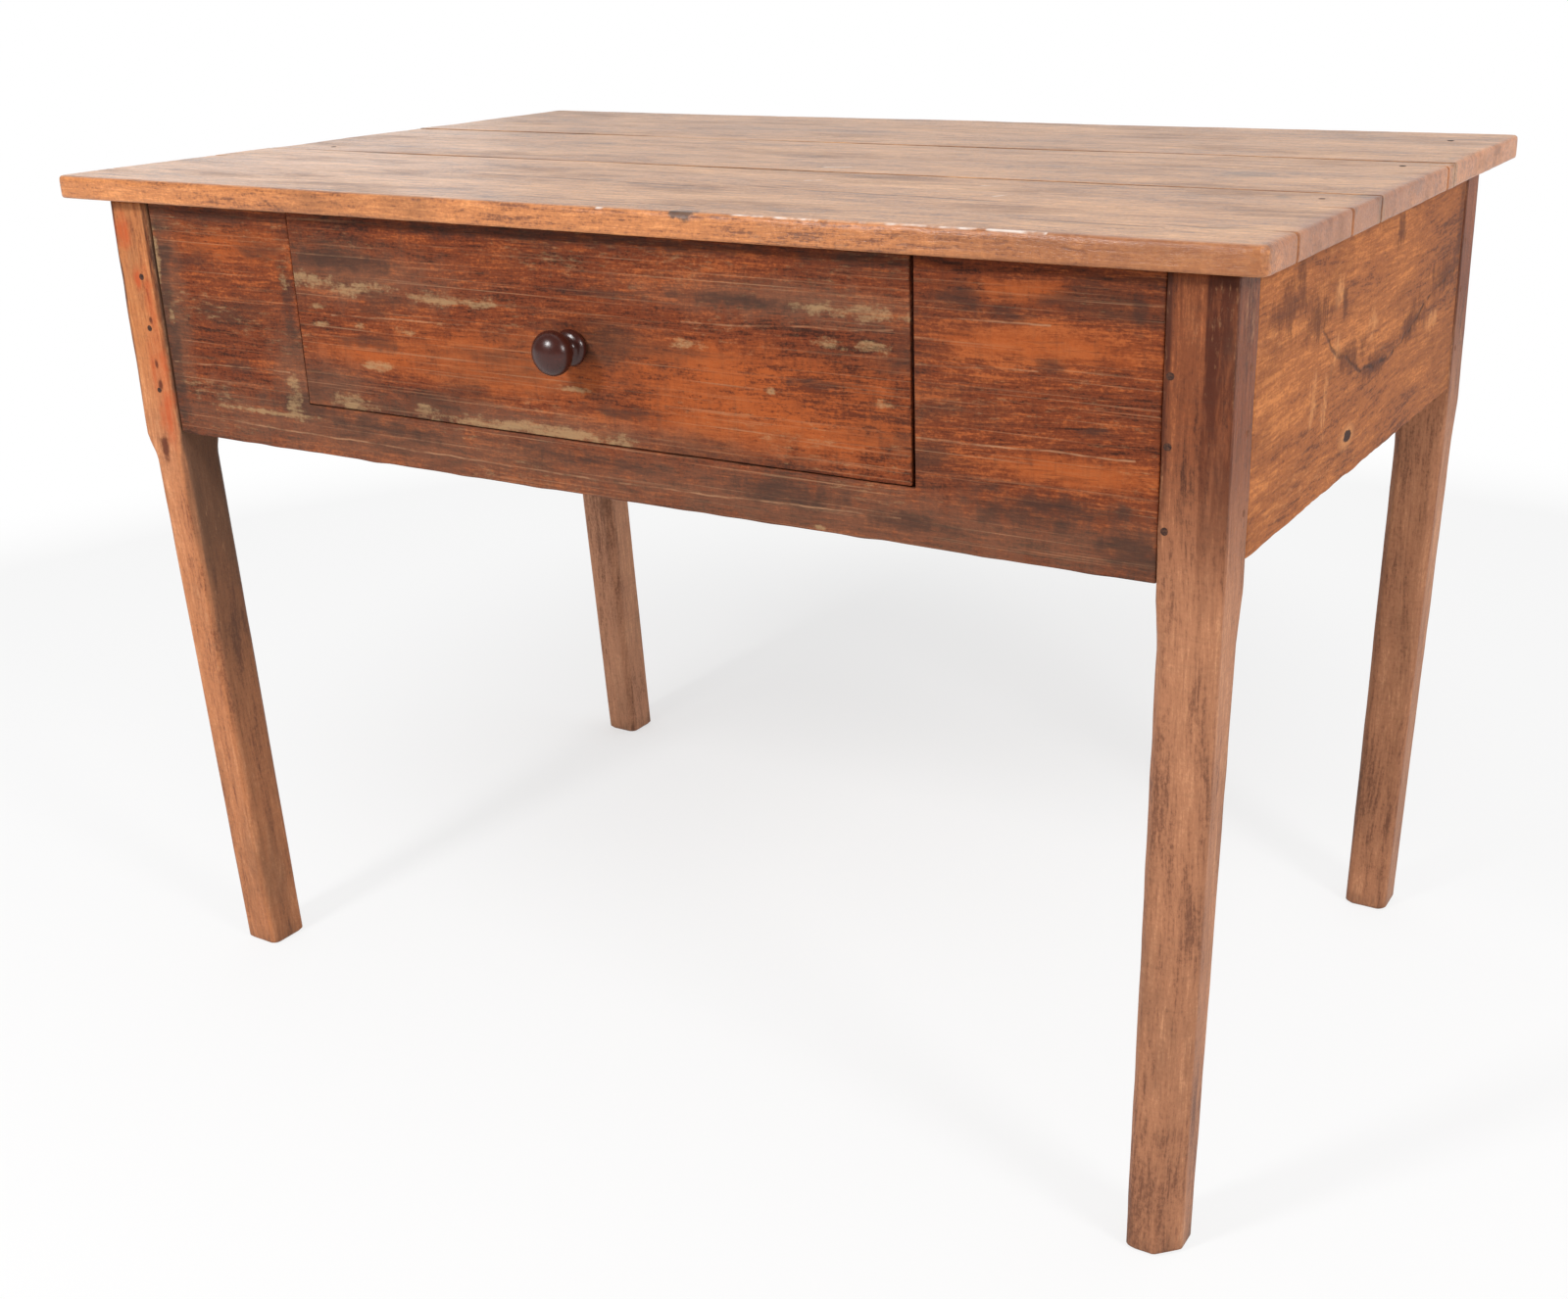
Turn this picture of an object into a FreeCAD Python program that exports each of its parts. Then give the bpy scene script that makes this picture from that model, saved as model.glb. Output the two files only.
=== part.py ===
import FreeCAD, Part
import math
import os

# Tavern table: a nailed plank top on four chamfered legs, pegged aprons and one dovetailed drawer.
# Millimetres, +Z up. The origin is on the floor, under the middle of the whole table,
# with +X towards the right end and +Y towards the back.

# Plank top
table_height = 770.0
top_length = 1113.0
top_thickness = 20.0
front_plank_width = 252.0
middle_plank_width = 215.0
back_plank_width = 242.0
plank_gap = 0.8
plank_corner = 9.0
plank_round = 4.5
overhang_left = 47.0
overhang_right = 23.0
overhang_front = 17.0
overhang_back = 42.0

# Edge dowels that hold the planks in line
dowel_diameter = 8.0
dowel_sides = 8
dowel_length = 60.0
dowel_clearance = 0.05
dowel_place_shares = (0.12, 0.31, 0.5, 0.69, 0.88)

# Legs: a square block at the top, an eight-sided taper below
leg_block = 47.0
leg_foot = 41.5
leg_arris = 1.5
neck_start = 6.0
neck_drop = 40.0
neck_step = 1.5
neck_drop_front_left = 20.0
neck_step_front_left = 4.5
neck_chamfer = 7.0
foot_chamfer = 4.5
foot_wear = 2.5
# The front right leg has a bevel on its outer corner, broad and shallow at the head, deep at the foot
bevel_along_front = 20.0
bevel_along_side = 2.5
neck_bevel = 7.0
foot_bevel = 16.0

# How far each foot has settled in under the table, along its length and across its depth
lean_along_front_left = 14.0
lean_across_front_left = 9.0
lean_along_front_right = 9.0
lean_across_front_right = 0.0
lean_along_back_left = 14.0
lean_across_back_left = -14.0
lean_along_back_right = 15.0
lean_across_back_right = -6.0

# Aprons and their pegged tenons
apron_thickness = 22.0
apron_setback = 2.0
side_setback = 1.0
apron_arris = 2.0
front_apron_height = 210.0
side_apron_height = 200.0
back_apron_height = 200.0
rail_height = 44.0
tenon_thickness = 10.0
tenon_head = 20.0
tenon_toe = 12.0
mortise_web = 5.0
joint_clearance = 0.15
joint_end_gap = 1.0
peg_diameter = 5.5
peg_sides = 8
peg_bite = 10.0
peg_clearance = 0.05
peg_height_shares = (0.15, 0.47, 0.73)
peg_inset = 12.0
front_peg_inset_left = 18.0
front_peg_inset_right = 5.5

# Forged nails, square in the shank
nail_thickness = 3.2
nail_sides = 4
nail_head_width = 8.0
nail_head_sides = 8
nail_head_height = 1.5
nail_clearance = 0.05
top_nail_bite = 18.0
top_nail_inset = 30.0

# Drawer
drawer_width = 592.0
drawer_offset = -5.5
drawer_side_gap = 1.5
drawer_foot_gap = 1.0
drawer_head_gap = 1.5
drawer_side_thickness = 12.0
drawer_back_thickness = 12.0
drawer_side_drop = 5.0
running_clearance = 0.3
tail_count = 3
tail_lap = 7.0
tail_tip_share = 0.68
tail_slope_share = 0.16
tail_clearance = 0.1
groove_lift = 10.0
groove_height = 5.0
groove_depth = 6.0
bottom_thickness = 9.0
bottom_bevel = 24.0
bottom_clearance = 0.15
bottom_seam_gap = 0.5
bottom_seam_share = 0.52
bottom_nail_bite = 20.0
bottom_nail_shares = (0.12, 0.5, 0.88)

# Turned knob: a domed head, a hollowed neck and a bead against the drawer
knob_reach = 38.0
knob_head_diameter = 35.0
knob_bead_diameter = 29.0
knob_neck_diameter = 16.0
knob_tenon_diameter = 12.0
knob_clearance = 0.05
knob_height_share = 0.455
knob_shift = 0.5
bead_foot_share = 0.86
bead_end_share = 0.2
neck_place_share = 0.34
head_back_share = 0.5
head_back_radius_share = 0.76
head_rim_share = 0.66
dome_start_share = 0.76
dome_start_radius_share = 0.95
bead_cuts = 2
neck_cuts = 2
dome_cuts = 3
wedge_length = 14.0
wedge_thickness = 1.8
wedge_tip_thickness = 0.8
wedge_clearance = 0.05

# Drawer runners, guides and stops
runner_height = 24.0
runner_ledge = 10.0
stub_length = 8.0
stub_height = 12.0
stub_shoulder = 6.0
guide_width = 18.0
guide_height = 20.0
guide_clearance = 1.0
guide_nail_bite = 16.0
guide_nail_shares = (0.1, 0.5, 0.9)
stop_length = 64.0
stop_height = 30.0

# One overrun for every cut that has to pass a face
overrun = 2.0

# Places worked out from the sizes above
top_depth = front_plank_width + middle_plank_width + back_plank_width
top_under = table_height - top_thickness
frame_length = top_length - overhang_left - overhang_right
frame_depth = top_depth - overhang_front - overhang_back
foremost = max(overhang_front, knob_reach - apron_setback)
frame_left = overhang_left - top_length / 2
frame_right = frame_left + frame_length
frame_front = (foremost - frame_depth - overhang_back) / 2
frame_back = frame_front + frame_depth
frame_middle = (frame_left + frame_right) / 2
top_left = frame_left - overhang_left
top_right = frame_right + overhang_right
top_front = frame_front - overhang_front
top_back = frame_back + overhang_back
seam_front = top_front + front_plank_width
seam_back = seam_front + middle_plank_width
front_apron_bottom = top_under - front_apron_height
side_apron_bottom = top_under - side_apron_height
back_apron_bottom = top_under - back_apron_height
apron_face = frame_front + apron_setback
apron_inside = apron_face + apron_thickness
back_face = frame_back - apron_setback
back_inside = back_face - apron_thickness
tenon_cheek = (apron_thickness - tenon_thickness) / 2
tenon_length = leg_block - side_setback - tenon_cheek - tenon_thickness - mortise_web
peg_length = apron_setback + tenon_cheek + tenon_thickness + peg_bite
opening_bottom = front_apron_bottom + rail_height
drawer_middle = frame_middle + drawer_offset
drawer_left = drawer_middle - drawer_width / 2
drawer_right = drawer_middle + drawer_width / 2
drawer_rear = back_inside - stop_length - running_clearance
drawer_front_bottom = opening_bottom + drawer_foot_gap
drawer_front_top = top_under - drawer_head_gap
side_bottom = opening_bottom + running_clearance
side_top = drawer_front_top - drawer_side_drop
groove_bottom = side_bottom + groove_lift
groove_top = groove_bottom + groove_height
bottom_top = groove_top - bottom_clearance
back_board_front = drawer_rear - drawer_back_thickness
knob_x = drawer_middle + knob_shift
knob_z = drawer_front_bottom + (drawer_front_top - drawer_front_bottom) * knob_height_share

os.makedirs("parts", exist_ok=True)
X_AXIS = FreeCAD.Vector(1, 0, 0)
Y_AXIS = FreeCAD.Vector(0, 1, 0)
Z_AXIS = FreeCAD.Vector(0, 0, 1)


def box(x0, x1, y0, y1, z0, z1):
    """A block between two corners, given in any order."""
    x_low, x_high = sorted((x0, x1))
    y_low, y_high = sorted((y0, y1))
    z_low, z_high = sorted((z0, z1))
    corner = FreeCAD.Vector(x_low, y_low, z_low)
    return Part.makeBox(x_high - x_low, y_high - y_low, z_high - z_low, corner)


def rod(start, axis, radius, length):
    """A round rod from a start point along an axis."""
    return Part.makeCylinder(radius, length, start, axis)


def bar(start, way, across, length, sides):
    """A straight bar with flat sides, measured across its flats."""
    side_way = X_AXIS if way.x == 0 else Y_AXIS
    third_way = way.cross(side_way)
    corner_radius = across / 2 / math.cos(math.pi / sides)
    points = []
    for i in range(sides):
        turn = math.pi * (i + i + 1) / sides
        points.append(start + (side_way * math.cos(turn) + third_way * math.sin(turn)) * corner_radius)
    return prism(points, way * length)


def outline(points):
    """A closed wire through the points."""
    return Part.makePolygon(list(points) + [points[0]])


def prism(points, way):
    """The outline of the points, pushed along a vector."""
    return Part.Face(outline(points)).extrude(way)


def edges_where(shape, test):
    """The edges whose ends and middle all pass the test."""
    chosen = []
    for edge in shape.Edges:
        middle = edge.valueAt((edge.FirstParameter + edge.LastParameter) / 2)
        points = [vertex.Point for vertex in edge.Vertexes] + [middle]
        if all(test(point) for point in points):
            chosen.append(edge)
    return chosen


def near(a, b):
    """True where two places are the same, to within a joint's clearance."""
    return abs(a - b) < joint_clearance


def true_planes(solid):
    """The same solid, with each flat face of a loft made a true plane."""
    faces = []
    for face in solid.Faces:
        corners = [vertex.Point for vertex in face.OuterWire.OrderedVertexes]
        faces.append(Part.Face(outline(corners)) if face.findPlane() else face)
    skin = Part.Compound(faces)
    skin.sewShape()
    return Part.Solid(skin.Shells[0])


def save(name, *solids):
    """Write the solids of one node to its file."""
    shape = solids[0] if len(solids) == 1 else Part.makeCompound(list(solids))
    shape.exportStep(f"parts/{name}.step")


def nail(point, way, length, grow=0.0):
    """A flat-headed nail whose head lies flush at the point; grow gives the hole for it."""
    head = bar(point, way, nail_head_width + grow + grow, nail_head_height + grow, nail_head_sides)
    return head.fuse(bar(point, way, nail_thickness + grow + grow, length + grow, nail_sides))


def nails(points, way, length, grow=0.0):
    """One nail at each point."""
    return [nail(FreeCAD.Vector(point), way, length, grow) for point in points]


# Nails through the plank top: one over each leg, the others into the side aprons beside the seams
def top_nail_points():
    """The heads of the nails in the top, at both ends of each plank."""
    points = []
    leg_rows = (frame_front + leg_block / 2, frame_back - leg_block / 2)
    apron_rows = (
        seam_front - top_nail_inset,
        seam_front + top_nail_inset,
        seam_back - top_nail_inset,
        seam_back + top_nail_inset,
    )
    apron_line = side_setback + apron_thickness / 2
    for outer, inward in ((frame_left, 1), (frame_right, -1)):
        for y in leg_rows:
            points.append((outer + inward * leg_block / 2, y, table_height))
        for y in apron_rows:
            points.append((outer + inward * apron_line, y, table_height))
    return points


top_nail_length = top_thickness + top_nail_bite
top_nail_holes = nails(top_nail_points(), -Z_AXIS, top_nail_length, nail_clearance)


def dowels(grow=0.0):
    """The dowels across both seams, half in each plank; grow gives the holes for them."""
    z = table_height - top_thickness / 2
    reach = dowel_length / 2 + grow
    rods = []
    for seam in (seam_front, seam_back):
        for share in dowel_place_shares:
            start = FreeCAD.Vector(top_left + top_length * share, seam - reach, z)
            rods.append(bar(start, Y_AXIS, dowel_diameter + grow + grow, reach + reach, dowel_sides))
    return rods


def plank(y0, y1, free_front, free_back):
    """One plank of the top, with rounded corners and upper edges where it isn't joined."""
    board = box(top_left, top_right, y0, y1, top_under, table_height)
    free = [y for y, is_free in ((y0, free_front), (y1, free_back)) if is_free]
    corners = edges_where(
        board,
        lambda p: any(near(p.y, y) for y in free) and (near(p.x, top_left) or near(p.x, top_right)),
    )
    if corners:
        board = board.makeFillet(plank_corner, corners)
    joined = [y for y, is_free in ((y0, free_front), (y1, free_back)) if not is_free]
    middle_y = (y0 + y1) / 2
    half_joined = abs(y1 - y0) / 2

    def on_free_rim(p):
        on_joint = any(near(p.y, y) for y in joined) and abs(p.x) < top_length / 2 - plank_corner
        return near(p.z, table_height) and not on_joint and abs(p.y - middle_y) < half_joined + overrun

    board = board.makeFillet(plank_round, edges_where(board, on_free_rim))
    return board.cut(dowels(dowel_clearance) + top_nail_holes)


save("top_plank_front", plank(top_front, seam_front - plank_gap / 2, True, False))
save("top_plank_middle", plank(seam_front + plank_gap / 2, seam_back - plank_gap / 2, False, False))
save("top_plank_back", plank(seam_back + plank_gap / 2, top_back, False, True))
save("seam_dowels", *dowels())
save("top_nails", *nails(top_nail_points(), -Z_AXIS, top_nail_length))


# Aprons: each is given by its span between the legs and its outer and inner faces
def tenon_span(apron_bottom):
    """The lower and upper ends of a tenon."""
    return apron_bottom + tenon_toe, top_under - tenon_head


def cross_tenons(face, inward, apron_bottom, grow=0.0):
    """The tenons at both ends of the front or back apron; grow gives their mortises."""
    z0, z1 = tenon_span(apron_bottom)
    near_cheek = face + inward * (tenon_cheek - grow)
    far_cheek = face + inward * (tenon_cheek + tenon_thickness + grow)
    end_gap = joint_end_gap if grow else 0
    tenons = []
    for shoulder, way in ((frame_left + leg_block, -1), (frame_right - leg_block, 1)):
        tip = shoulder + way * (tenon_length + end_gap)
        tenons.append(box(shoulder, tip, near_cheek, far_cheek, z0 - grow, z1 + grow))
    return tenons


def side_tenons(face, inward, grow=0.0):
    """The tenons at both ends of a side apron; grow gives their mortises."""
    z0, z1 = tenon_span(side_apron_bottom)
    near_cheek = face + inward * (tenon_cheek - grow)
    far_cheek = face + inward * (tenon_cheek + tenon_thickness + grow)
    end_gap = joint_end_gap if grow else 0
    tenons = []
    for shoulder, way in ((frame_front + leg_block, -1), (frame_back - leg_block, 1)):
        tip = shoulder + way * (tenon_length + end_gap)
        tenons.append(box(near_cheek, far_cheek, shoulder, tip, z0 - grow, z1 + grow))
    return tenons


def peg(start, way, grow=0.0):
    """A riven eight-sided peg, driven in flush; grow gives its hole."""
    return bar(start, way, peg_diameter + grow + grow, peg_length + grow, peg_sides)


def cross_pegs(y, way, apron_bottom, inset_left, inset_right, grow=0.0):
    """The pegs that lock the tenons of the front or back apron."""
    z0, z1 = tenon_span(apron_bottom)
    pegs = []
    for x in (frame_left + leg_block - inset_left, frame_right - leg_block + inset_right):
        for share in peg_height_shares:
            pegs.append(peg(FreeCAD.Vector(x, y, z0 + (z1 - z0) * share), way, grow))
    return pegs


def side_pegs(x, way, grow=0.0):
    """The pegs that lock the tenons of a side apron."""
    z0, z1 = tenon_span(side_apron_bottom)
    pegs = []
    for y in (frame_front + leg_block - peg_inset, frame_back - leg_block + peg_inset):
        for share in peg_height_shares:
            pegs.append(peg(FreeCAD.Vector(x, y, z0 + (z1 - z0) * share), way, grow))
    return pegs


def front_pegs(grow=0.0):
    return cross_pegs(
        frame_front, Y_AXIS, front_apron_bottom, front_peg_inset_left, front_peg_inset_right, grow
    )


def back_pegs(grow=0.0):
    return cross_pegs(frame_back, -Y_AXIS, back_apron_bottom, peg_inset, peg_inset, grow)


def left_pegs(grow=0.0):
    return side_pegs(frame_left, X_AXIS, grow)


def right_pegs(grow=0.0):
    return side_pegs(frame_right, -X_AXIS, grow)


left_face = frame_left + side_setback
right_face = frame_right - side_setback


# Drawer runners: a ledge under each drawer side with a guide strip on it, stub-tenoned into the aprons
def runner_span(side):
    """The inner and outer edge of a runner, and the guide's inner edge; side is -1 or 1."""
    drawer_edge = drawer_middle + side * drawer_width / 2
    inner = drawer_edge - side * (drawer_side_thickness + runner_ledge)
    guide_inner = drawer_edge + side * guide_clearance
    outer = guide_inner + side * guide_width
    return inner, outer, guide_inner


def runner_stubs(side, grow=0.0):
    """The stub tenons at both ends of a runner; grow gives their mortises."""
    inner, outer, guide_inner = runner_span(side)
    z_middle = opening_bottom - runner_height / 2
    z0 = z_middle - stub_height / 2 - grow
    z1 = z_middle + stub_height / 2 + grow
    x0 = inner + side * (stub_shoulder - grow)
    x1 = outer - side * (stub_shoulder - grow)
    end_gap = joint_end_gap if grow else 0
    front = box(x0, x1, apron_inside, apron_inside - stub_length - end_gap, z0, z1)
    back = box(x0, x1, back_inside, back_inside + stub_length + end_gap, z0, z1)
    return [front, back]


def guide_nail_points(side):
    """The heads of the nails in a guide strip."""
    inner, outer, guide_inner = runner_span(side)
    x = (outer + guide_inner) / 2
    z = opening_bottom + guide_height
    return [(x, apron_inside + (back_inside - apron_inside) * share, z) for share in guide_nail_shares]


guide_nail_length = guide_height + guide_nail_bite
guide_nails = []
for name, side in (("left", -1), ("right", 1)):
    inner, outer, guide_inner = runner_span(side)
    points = guide_nail_points(side)
    nail_holes = nails(points, -Z_AXIS, guide_nail_length, nail_clearance)
    guide_nails += nails(points, -Z_AXIS, guide_nail_length)
    runner = box(inner, outer, apron_inside, back_inside, opening_bottom - runner_height, opening_bottom)
    save(f"drawer_runner_{name}", runner.fuse(runner_stubs(side)).removeSplitter().cut(nail_holes))
    guide_top = opening_bottom + guide_height
    guide = box(guide_inner, outer, apron_inside, back_inside, opening_bottom, guide_top)
    save(f"drawer_guide_{name}", guide.cut(nail_holes))
    stop_outer = drawer_middle + side * drawer_width / 2
    stop_top = opening_bottom + stop_height
    stop_front = back_inside - stop_length
    save(f"drawer_stop_{name}", box(inner, stop_outer, stop_front, back_inside, opening_bottom, stop_top))
save("guide_nails", *guide_nails)

stub_mortises = runner_stubs(-1, joint_clearance) + runner_stubs(1, joint_clearance)


def ease_lower_edge(board, axis, place, bottom):
    """Take the sharp arris off a board's outer lower edge."""
    lower = edges_where(board, lambda p: near(p.z, bottom) and near(p.dot(axis), place))
    return board.makeChamfer(apron_arris, lower)


# The front apron is one wide board: the drawer's opening is sawn out of it and leaves a rail below
front_board = box(
    frame_left + leg_block, frame_right - leg_block, apron_face, apron_inside, front_apron_bottom, top_under
)
drawer_opening = box(
    drawer_left - drawer_side_gap,
    drawer_right + drawer_side_gap,
    apron_face - overrun,
    apron_inside + overrun,
    opening_bottom,
    top_under + overrun,
)
front_board = ease_lower_edge(front_board, Y_AXIS, apron_face, front_apron_bottom)
front_apron = front_board.cut(drawer_opening).fuse(cross_tenons(apron_face, 1, front_apron_bottom))
save("front_apron", front_apron.removeSplitter().cut(stub_mortises + front_pegs(peg_clearance)))

back_board = box(
    frame_left + leg_block, frame_right - leg_block, back_face, back_inside, back_apron_bottom, top_under
)
back_board = ease_lower_edge(back_board, Y_AXIS, back_face, back_apron_bottom)
back_apron = back_board.fuse(cross_tenons(back_face, -1, back_apron_bottom))
save("back_apron", back_apron.removeSplitter().cut(stub_mortises + back_pegs(peg_clearance)))

for name, face, inward, pegs in (("left", left_face, 1, left_pegs), ("right", right_face, -1, right_pegs)):
    inside = face + inward * apron_thickness
    board = box(
        face, inside, frame_front + leg_block, frame_back - leg_block, side_apron_bottom, top_under
    )
    board = ease_lower_edge(board, X_AXIS, face, side_apron_bottom)
    apron = board.fuse(side_tenons(face, inward)).removeSplitter()
    save(f"{name}_apron", apron.cut(pegs(peg_clearance) + top_nail_holes))
    save(f"{name}_apron_pegs", *pegs())
save("front_apron_pegs", *front_pegs())
save("back_apron_pegs", *back_pegs())


# Legs: u runs in from the outer side face and v from the outer front or back face
def leg_section(corner, inward_x, inward_y, z, u_span, v_span, outer_cut, inner_cut):
    """An eight-sided slice of a leg; outer_cut has its length along the front and along the side."""
    u0, u1 = u_span
    v0, v1 = v_span
    along_front, along_side = outer_cut
    places = (
        (u0 + along_front, v0),
        (u1 - inner_cut, v0),
        (u1, v0 + inner_cut),
        (u1, v1 - inner_cut),
        (u1 - inner_cut, v1),
        (u0 + inner_cut, v1),
        (u0, v1 - inner_cut),
        (u0, v0 + along_side),
    )
    corner_x, corner_y = corner
    return outline(
        [FreeCAD.Vector(corner_x + inward_x * u, corner_y + inward_y * v, z) for u, v in places]
    )


def leg(corner, inward_x, inward_y, drop, step, outer_cuts, lean_along, lean_across):
    """A leg with its square block, its neck below the apron and its leaning eight-sided shaft.
    The outer cuts are those of its outer corner at the block, the neck and the foot."""
    block_bottom = front_apron_bottom - neck_start
    neck_bottom = block_bottom - drop
    block_span = (0, leg_block)
    neck_span = (step, leg_block)
    block_cut, neck_cut, foot_cut = outer_cuts
    foot_u = (leg_block - leg_foot) / 2 + lean_along
    foot_v = (leg_block - leg_foot) / 2 + lean_across
    foot_u_span = (foot_u, foot_u + leg_foot)
    foot_v_span = (foot_v, foot_v + leg_foot)
    worn_u_span = (foot_u + foot_wear, foot_u + leg_foot - foot_wear)
    worn_v_span = (foot_v + foot_wear, foot_v + leg_foot - foot_wear)
    slices = (
        (top_under, block_span, block_span, block_cut, leg_arris),
        (block_bottom, block_span, block_span, block_cut, leg_arris),
        (neck_bottom, neck_span, block_span, neck_cut, neck_chamfer),
        (foot_wear, foot_u_span, foot_v_span, foot_cut, foot_chamfer),
        (0, worn_u_span, worn_v_span, foot_cut, foot_chamfer),
    )
    wires = [leg_section(corner, inward_x, inward_y, *one) for one in slices]
    return true_planes(Part.makeLoft(wires, True, True))


mortises = (
    cross_tenons(apron_face, 1, front_apron_bottom, joint_clearance)
    + cross_tenons(back_face, -1, back_apron_bottom, joint_clearance)
    + side_tenons(left_face, 1, joint_clearance)
    + side_tenons(right_face, -1, joint_clearance)
)
peg_holes = []
for pegs in (front_pegs, back_pegs, left_pegs, right_pegs):
    peg_holes += pegs(peg_clearance)
plain_cuts = ((leg_arris, leg_arris), (neck_chamfer, neck_chamfer), (foot_chamfer, foot_chamfer))
bevel_cuts = ((bevel_along_front, bevel_along_side), (neck_bevel, neck_bevel), (foot_bevel, foot_bevel))
front_left = leg(
    (frame_left, frame_front),
    1,
    1,
    neck_drop_front_left,
    neck_step_front_left,
    plain_cuts,
    lean_along_front_left,
    lean_across_front_left,
)
front_right = leg(
    (frame_right, frame_front),
    -1,
    1,
    neck_drop,
    neck_step,
    bevel_cuts,
    lean_along_front_right,
    lean_across_front_right,
)
back_left = leg(
    (frame_left, frame_back),
    1,
    -1,
    neck_drop,
    neck_step,
    plain_cuts,
    lean_along_back_left,
    lean_across_back_left,
)
back_right = leg(
    (frame_right, frame_back),
    -1,
    -1,
    neck_drop,
    neck_step,
    plain_cuts,
    lean_along_back_right,
    lean_across_back_right,
)
leg_cuts = mortises + peg_holes + top_nail_holes
save("leg_front_left", front_left.cut(leg_cuts))
save("leg_front_right", front_right.cut(leg_cuts))
save("leg_back_left", back_left.cut(leg_cuts))
save("leg_back_right", back_right.cut(leg_cuts))


# Drawer: tails cut on the ends of the sides, half-blind at the front and through at the back
def tails(x0, x1, shoulder, tip, z0, z1, grow=0.0):
    """The row of dovetails on a side's end; grow gives the sockets they fit."""
    pitch = (z1 - z0) / tail_count
    length = abs(tip - shoulder)
    half_tip = pitch * tail_tip_share / 2 + grow
    half_neck = half_tip - length * tail_slope_share
    tip_y = tip + (tip - shoulder) / length * grow
    row = []
    for i in range(tail_count):
        z = z0 + pitch * (i + 0.5)
        points = [
            FreeCAD.Vector(x0, shoulder, z - half_neck),
            FreeCAD.Vector(x0, tip_y, z - half_tip),
            FreeCAD.Vector(x0, tip_y, z + half_tip),
            FreeCAD.Vector(x0, shoulder, z + half_neck),
        ]
        row.append(prism(points, FreeCAD.Vector(x1 - x0, 0, 0)))
    return row


front_shoulder = apron_face + apron_thickness
front_tip = apron_face + tail_lap
back_tails_bottom = bottom_top
side_sockets = []
for name, edge, inward in (("left", drawer_left, 1), ("right", drawer_right, -1)):
    inner = edge + inward * drawer_side_thickness
    board = box(edge, inner, front_shoulder, back_board_front, side_bottom, side_top)
    front_tails = tails(edge, inner, front_shoulder, front_tip, side_bottom, side_top)
    back_tails = tails(edge, inner, back_board_front, drawer_rear, back_tails_bottom, side_top)
    under_back = box(edge, inner, back_board_front, drawer_rear, side_bottom, back_tails_bottom)
    groove_floor = inner - inward * groove_depth
    groove = box(
        groove_floor,
        inner + inward * overrun,
        front_tip - overrun,
        drawer_rear + overrun,
        groove_bottom,
        groove_top,
    )
    side_board = board.fuse(front_tails + back_tails + [under_back]).removeSplitter()
    save(f"drawer_side_{name}", side_board.cut(groove))
    outside = edge - inward * overrun
    inside = inner + inward * tail_clearance
    side_sockets += tails(outside, inside, front_shoulder, front_tip, side_bottom, side_top, tail_clearance)
    side_sockets += tails(
        outside, inner, back_board_front, drawer_rear, back_tails_bottom, side_top, tail_clearance
    )

knob_tenon_hole = rod(
    FreeCAD.Vector(knob_x, apron_face - overrun, knob_z),
    Y_AXIS,
    knob_tenon_diameter / 2 + knob_clearance,
    apron_thickness + overrun + overrun,
)
front_groove = box(
    drawer_left + drawer_side_thickness - groove_depth,
    drawer_right - drawer_side_thickness + groove_depth,
    front_shoulder + overrun,
    front_shoulder - groove_depth,
    groove_bottom,
    groove_top,
)
front_panel = box(
    drawer_left, drawer_right, apron_face, front_shoulder, drawer_front_bottom, drawer_front_top
)
save("drawer_front", front_panel.cut(side_sockets + [knob_tenon_hole, front_groove]))


def bottom_nail_points():
    """The heads of the nails under the drawer's back, flush with the bottom boards."""
    width = drawer_right - drawer_left
    y = drawer_rear - drawer_back_thickness / 2
    z = bottom_top - bottom_thickness
    return [(drawer_left + width * share, y, z) for share in bottom_nail_shares]


bottom_nail_length = bottom_thickness + bottom_nail_bite
bottom_nail_holes = nails(bottom_nail_points(), Z_AXIS, bottom_nail_length, nail_clearance)
save("drawer_bottom_nails", *nails(bottom_nail_points(), Z_AXIS, bottom_nail_length))

back_panel = box(drawer_left, drawer_right, back_board_front, drawer_rear, bottom_top, side_top)
save("drawer_back", back_panel.cut(side_sockets + bottom_nail_holes))

# The drawer's bottom boards: bevelled underneath where they enter the grooves
bottom_left = drawer_left + drawer_side_thickness - groove_depth + joint_end_gap
bottom_right = drawer_right - drawer_side_thickness + groove_depth - joint_end_gap
bottom_front = front_shoulder - groove_depth + joint_end_gap
bottom_under = bottom_top - bottom_thickness
tongue_under = groove_bottom + bottom_clearance
bottom_seam = bottom_front + (drawer_rear - bottom_front) * bottom_seam_share


def bottom_board(y0, y1):
    """A bottom board, bevelled at both ends."""
    bevel_start = groove_depth
    bevel_end = groove_depth + bottom_bevel
    outline_points = (
        (bottom_left, tongue_under),
        (bottom_left + bevel_start, tongue_under),
        (bottom_left + bevel_end, bottom_under),
        (bottom_right - bevel_end, bottom_under),
        (bottom_right - bevel_start, tongue_under),
        (bottom_right, tongue_under),
        (bottom_right, bottom_top),
        (bottom_left, bottom_top),
    )
    points = [FreeCAD.Vector(x, y0, z) for x, z in outline_points]
    return prism(points, FreeCAD.Vector(0, y1 - y0, 0))


front_bevel_points = (
    (bottom_front, tongue_under),
    (bottom_front, bottom_under),
    (bottom_front + groove_depth + bottom_bevel, bottom_under),
    (bottom_front + groove_depth, tongue_under),
)
front_bevel = prism(
    [FreeCAD.Vector(bottom_left - overrun, y, z) for y, z in front_bevel_points],
    FreeCAD.Vector(bottom_right - bottom_left + overrun + overrun, 0, 0),
)
save("drawer_bottom_front", bottom_board(bottom_front, bottom_seam - bottom_seam_gap / 2).cut(front_bevel))
back_bottom = bottom_board(bottom_seam + bottom_seam_gap / 2, drawer_rear)
save("drawer_bottom_back", back_bottom.cut(bottom_nail_holes))


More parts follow.
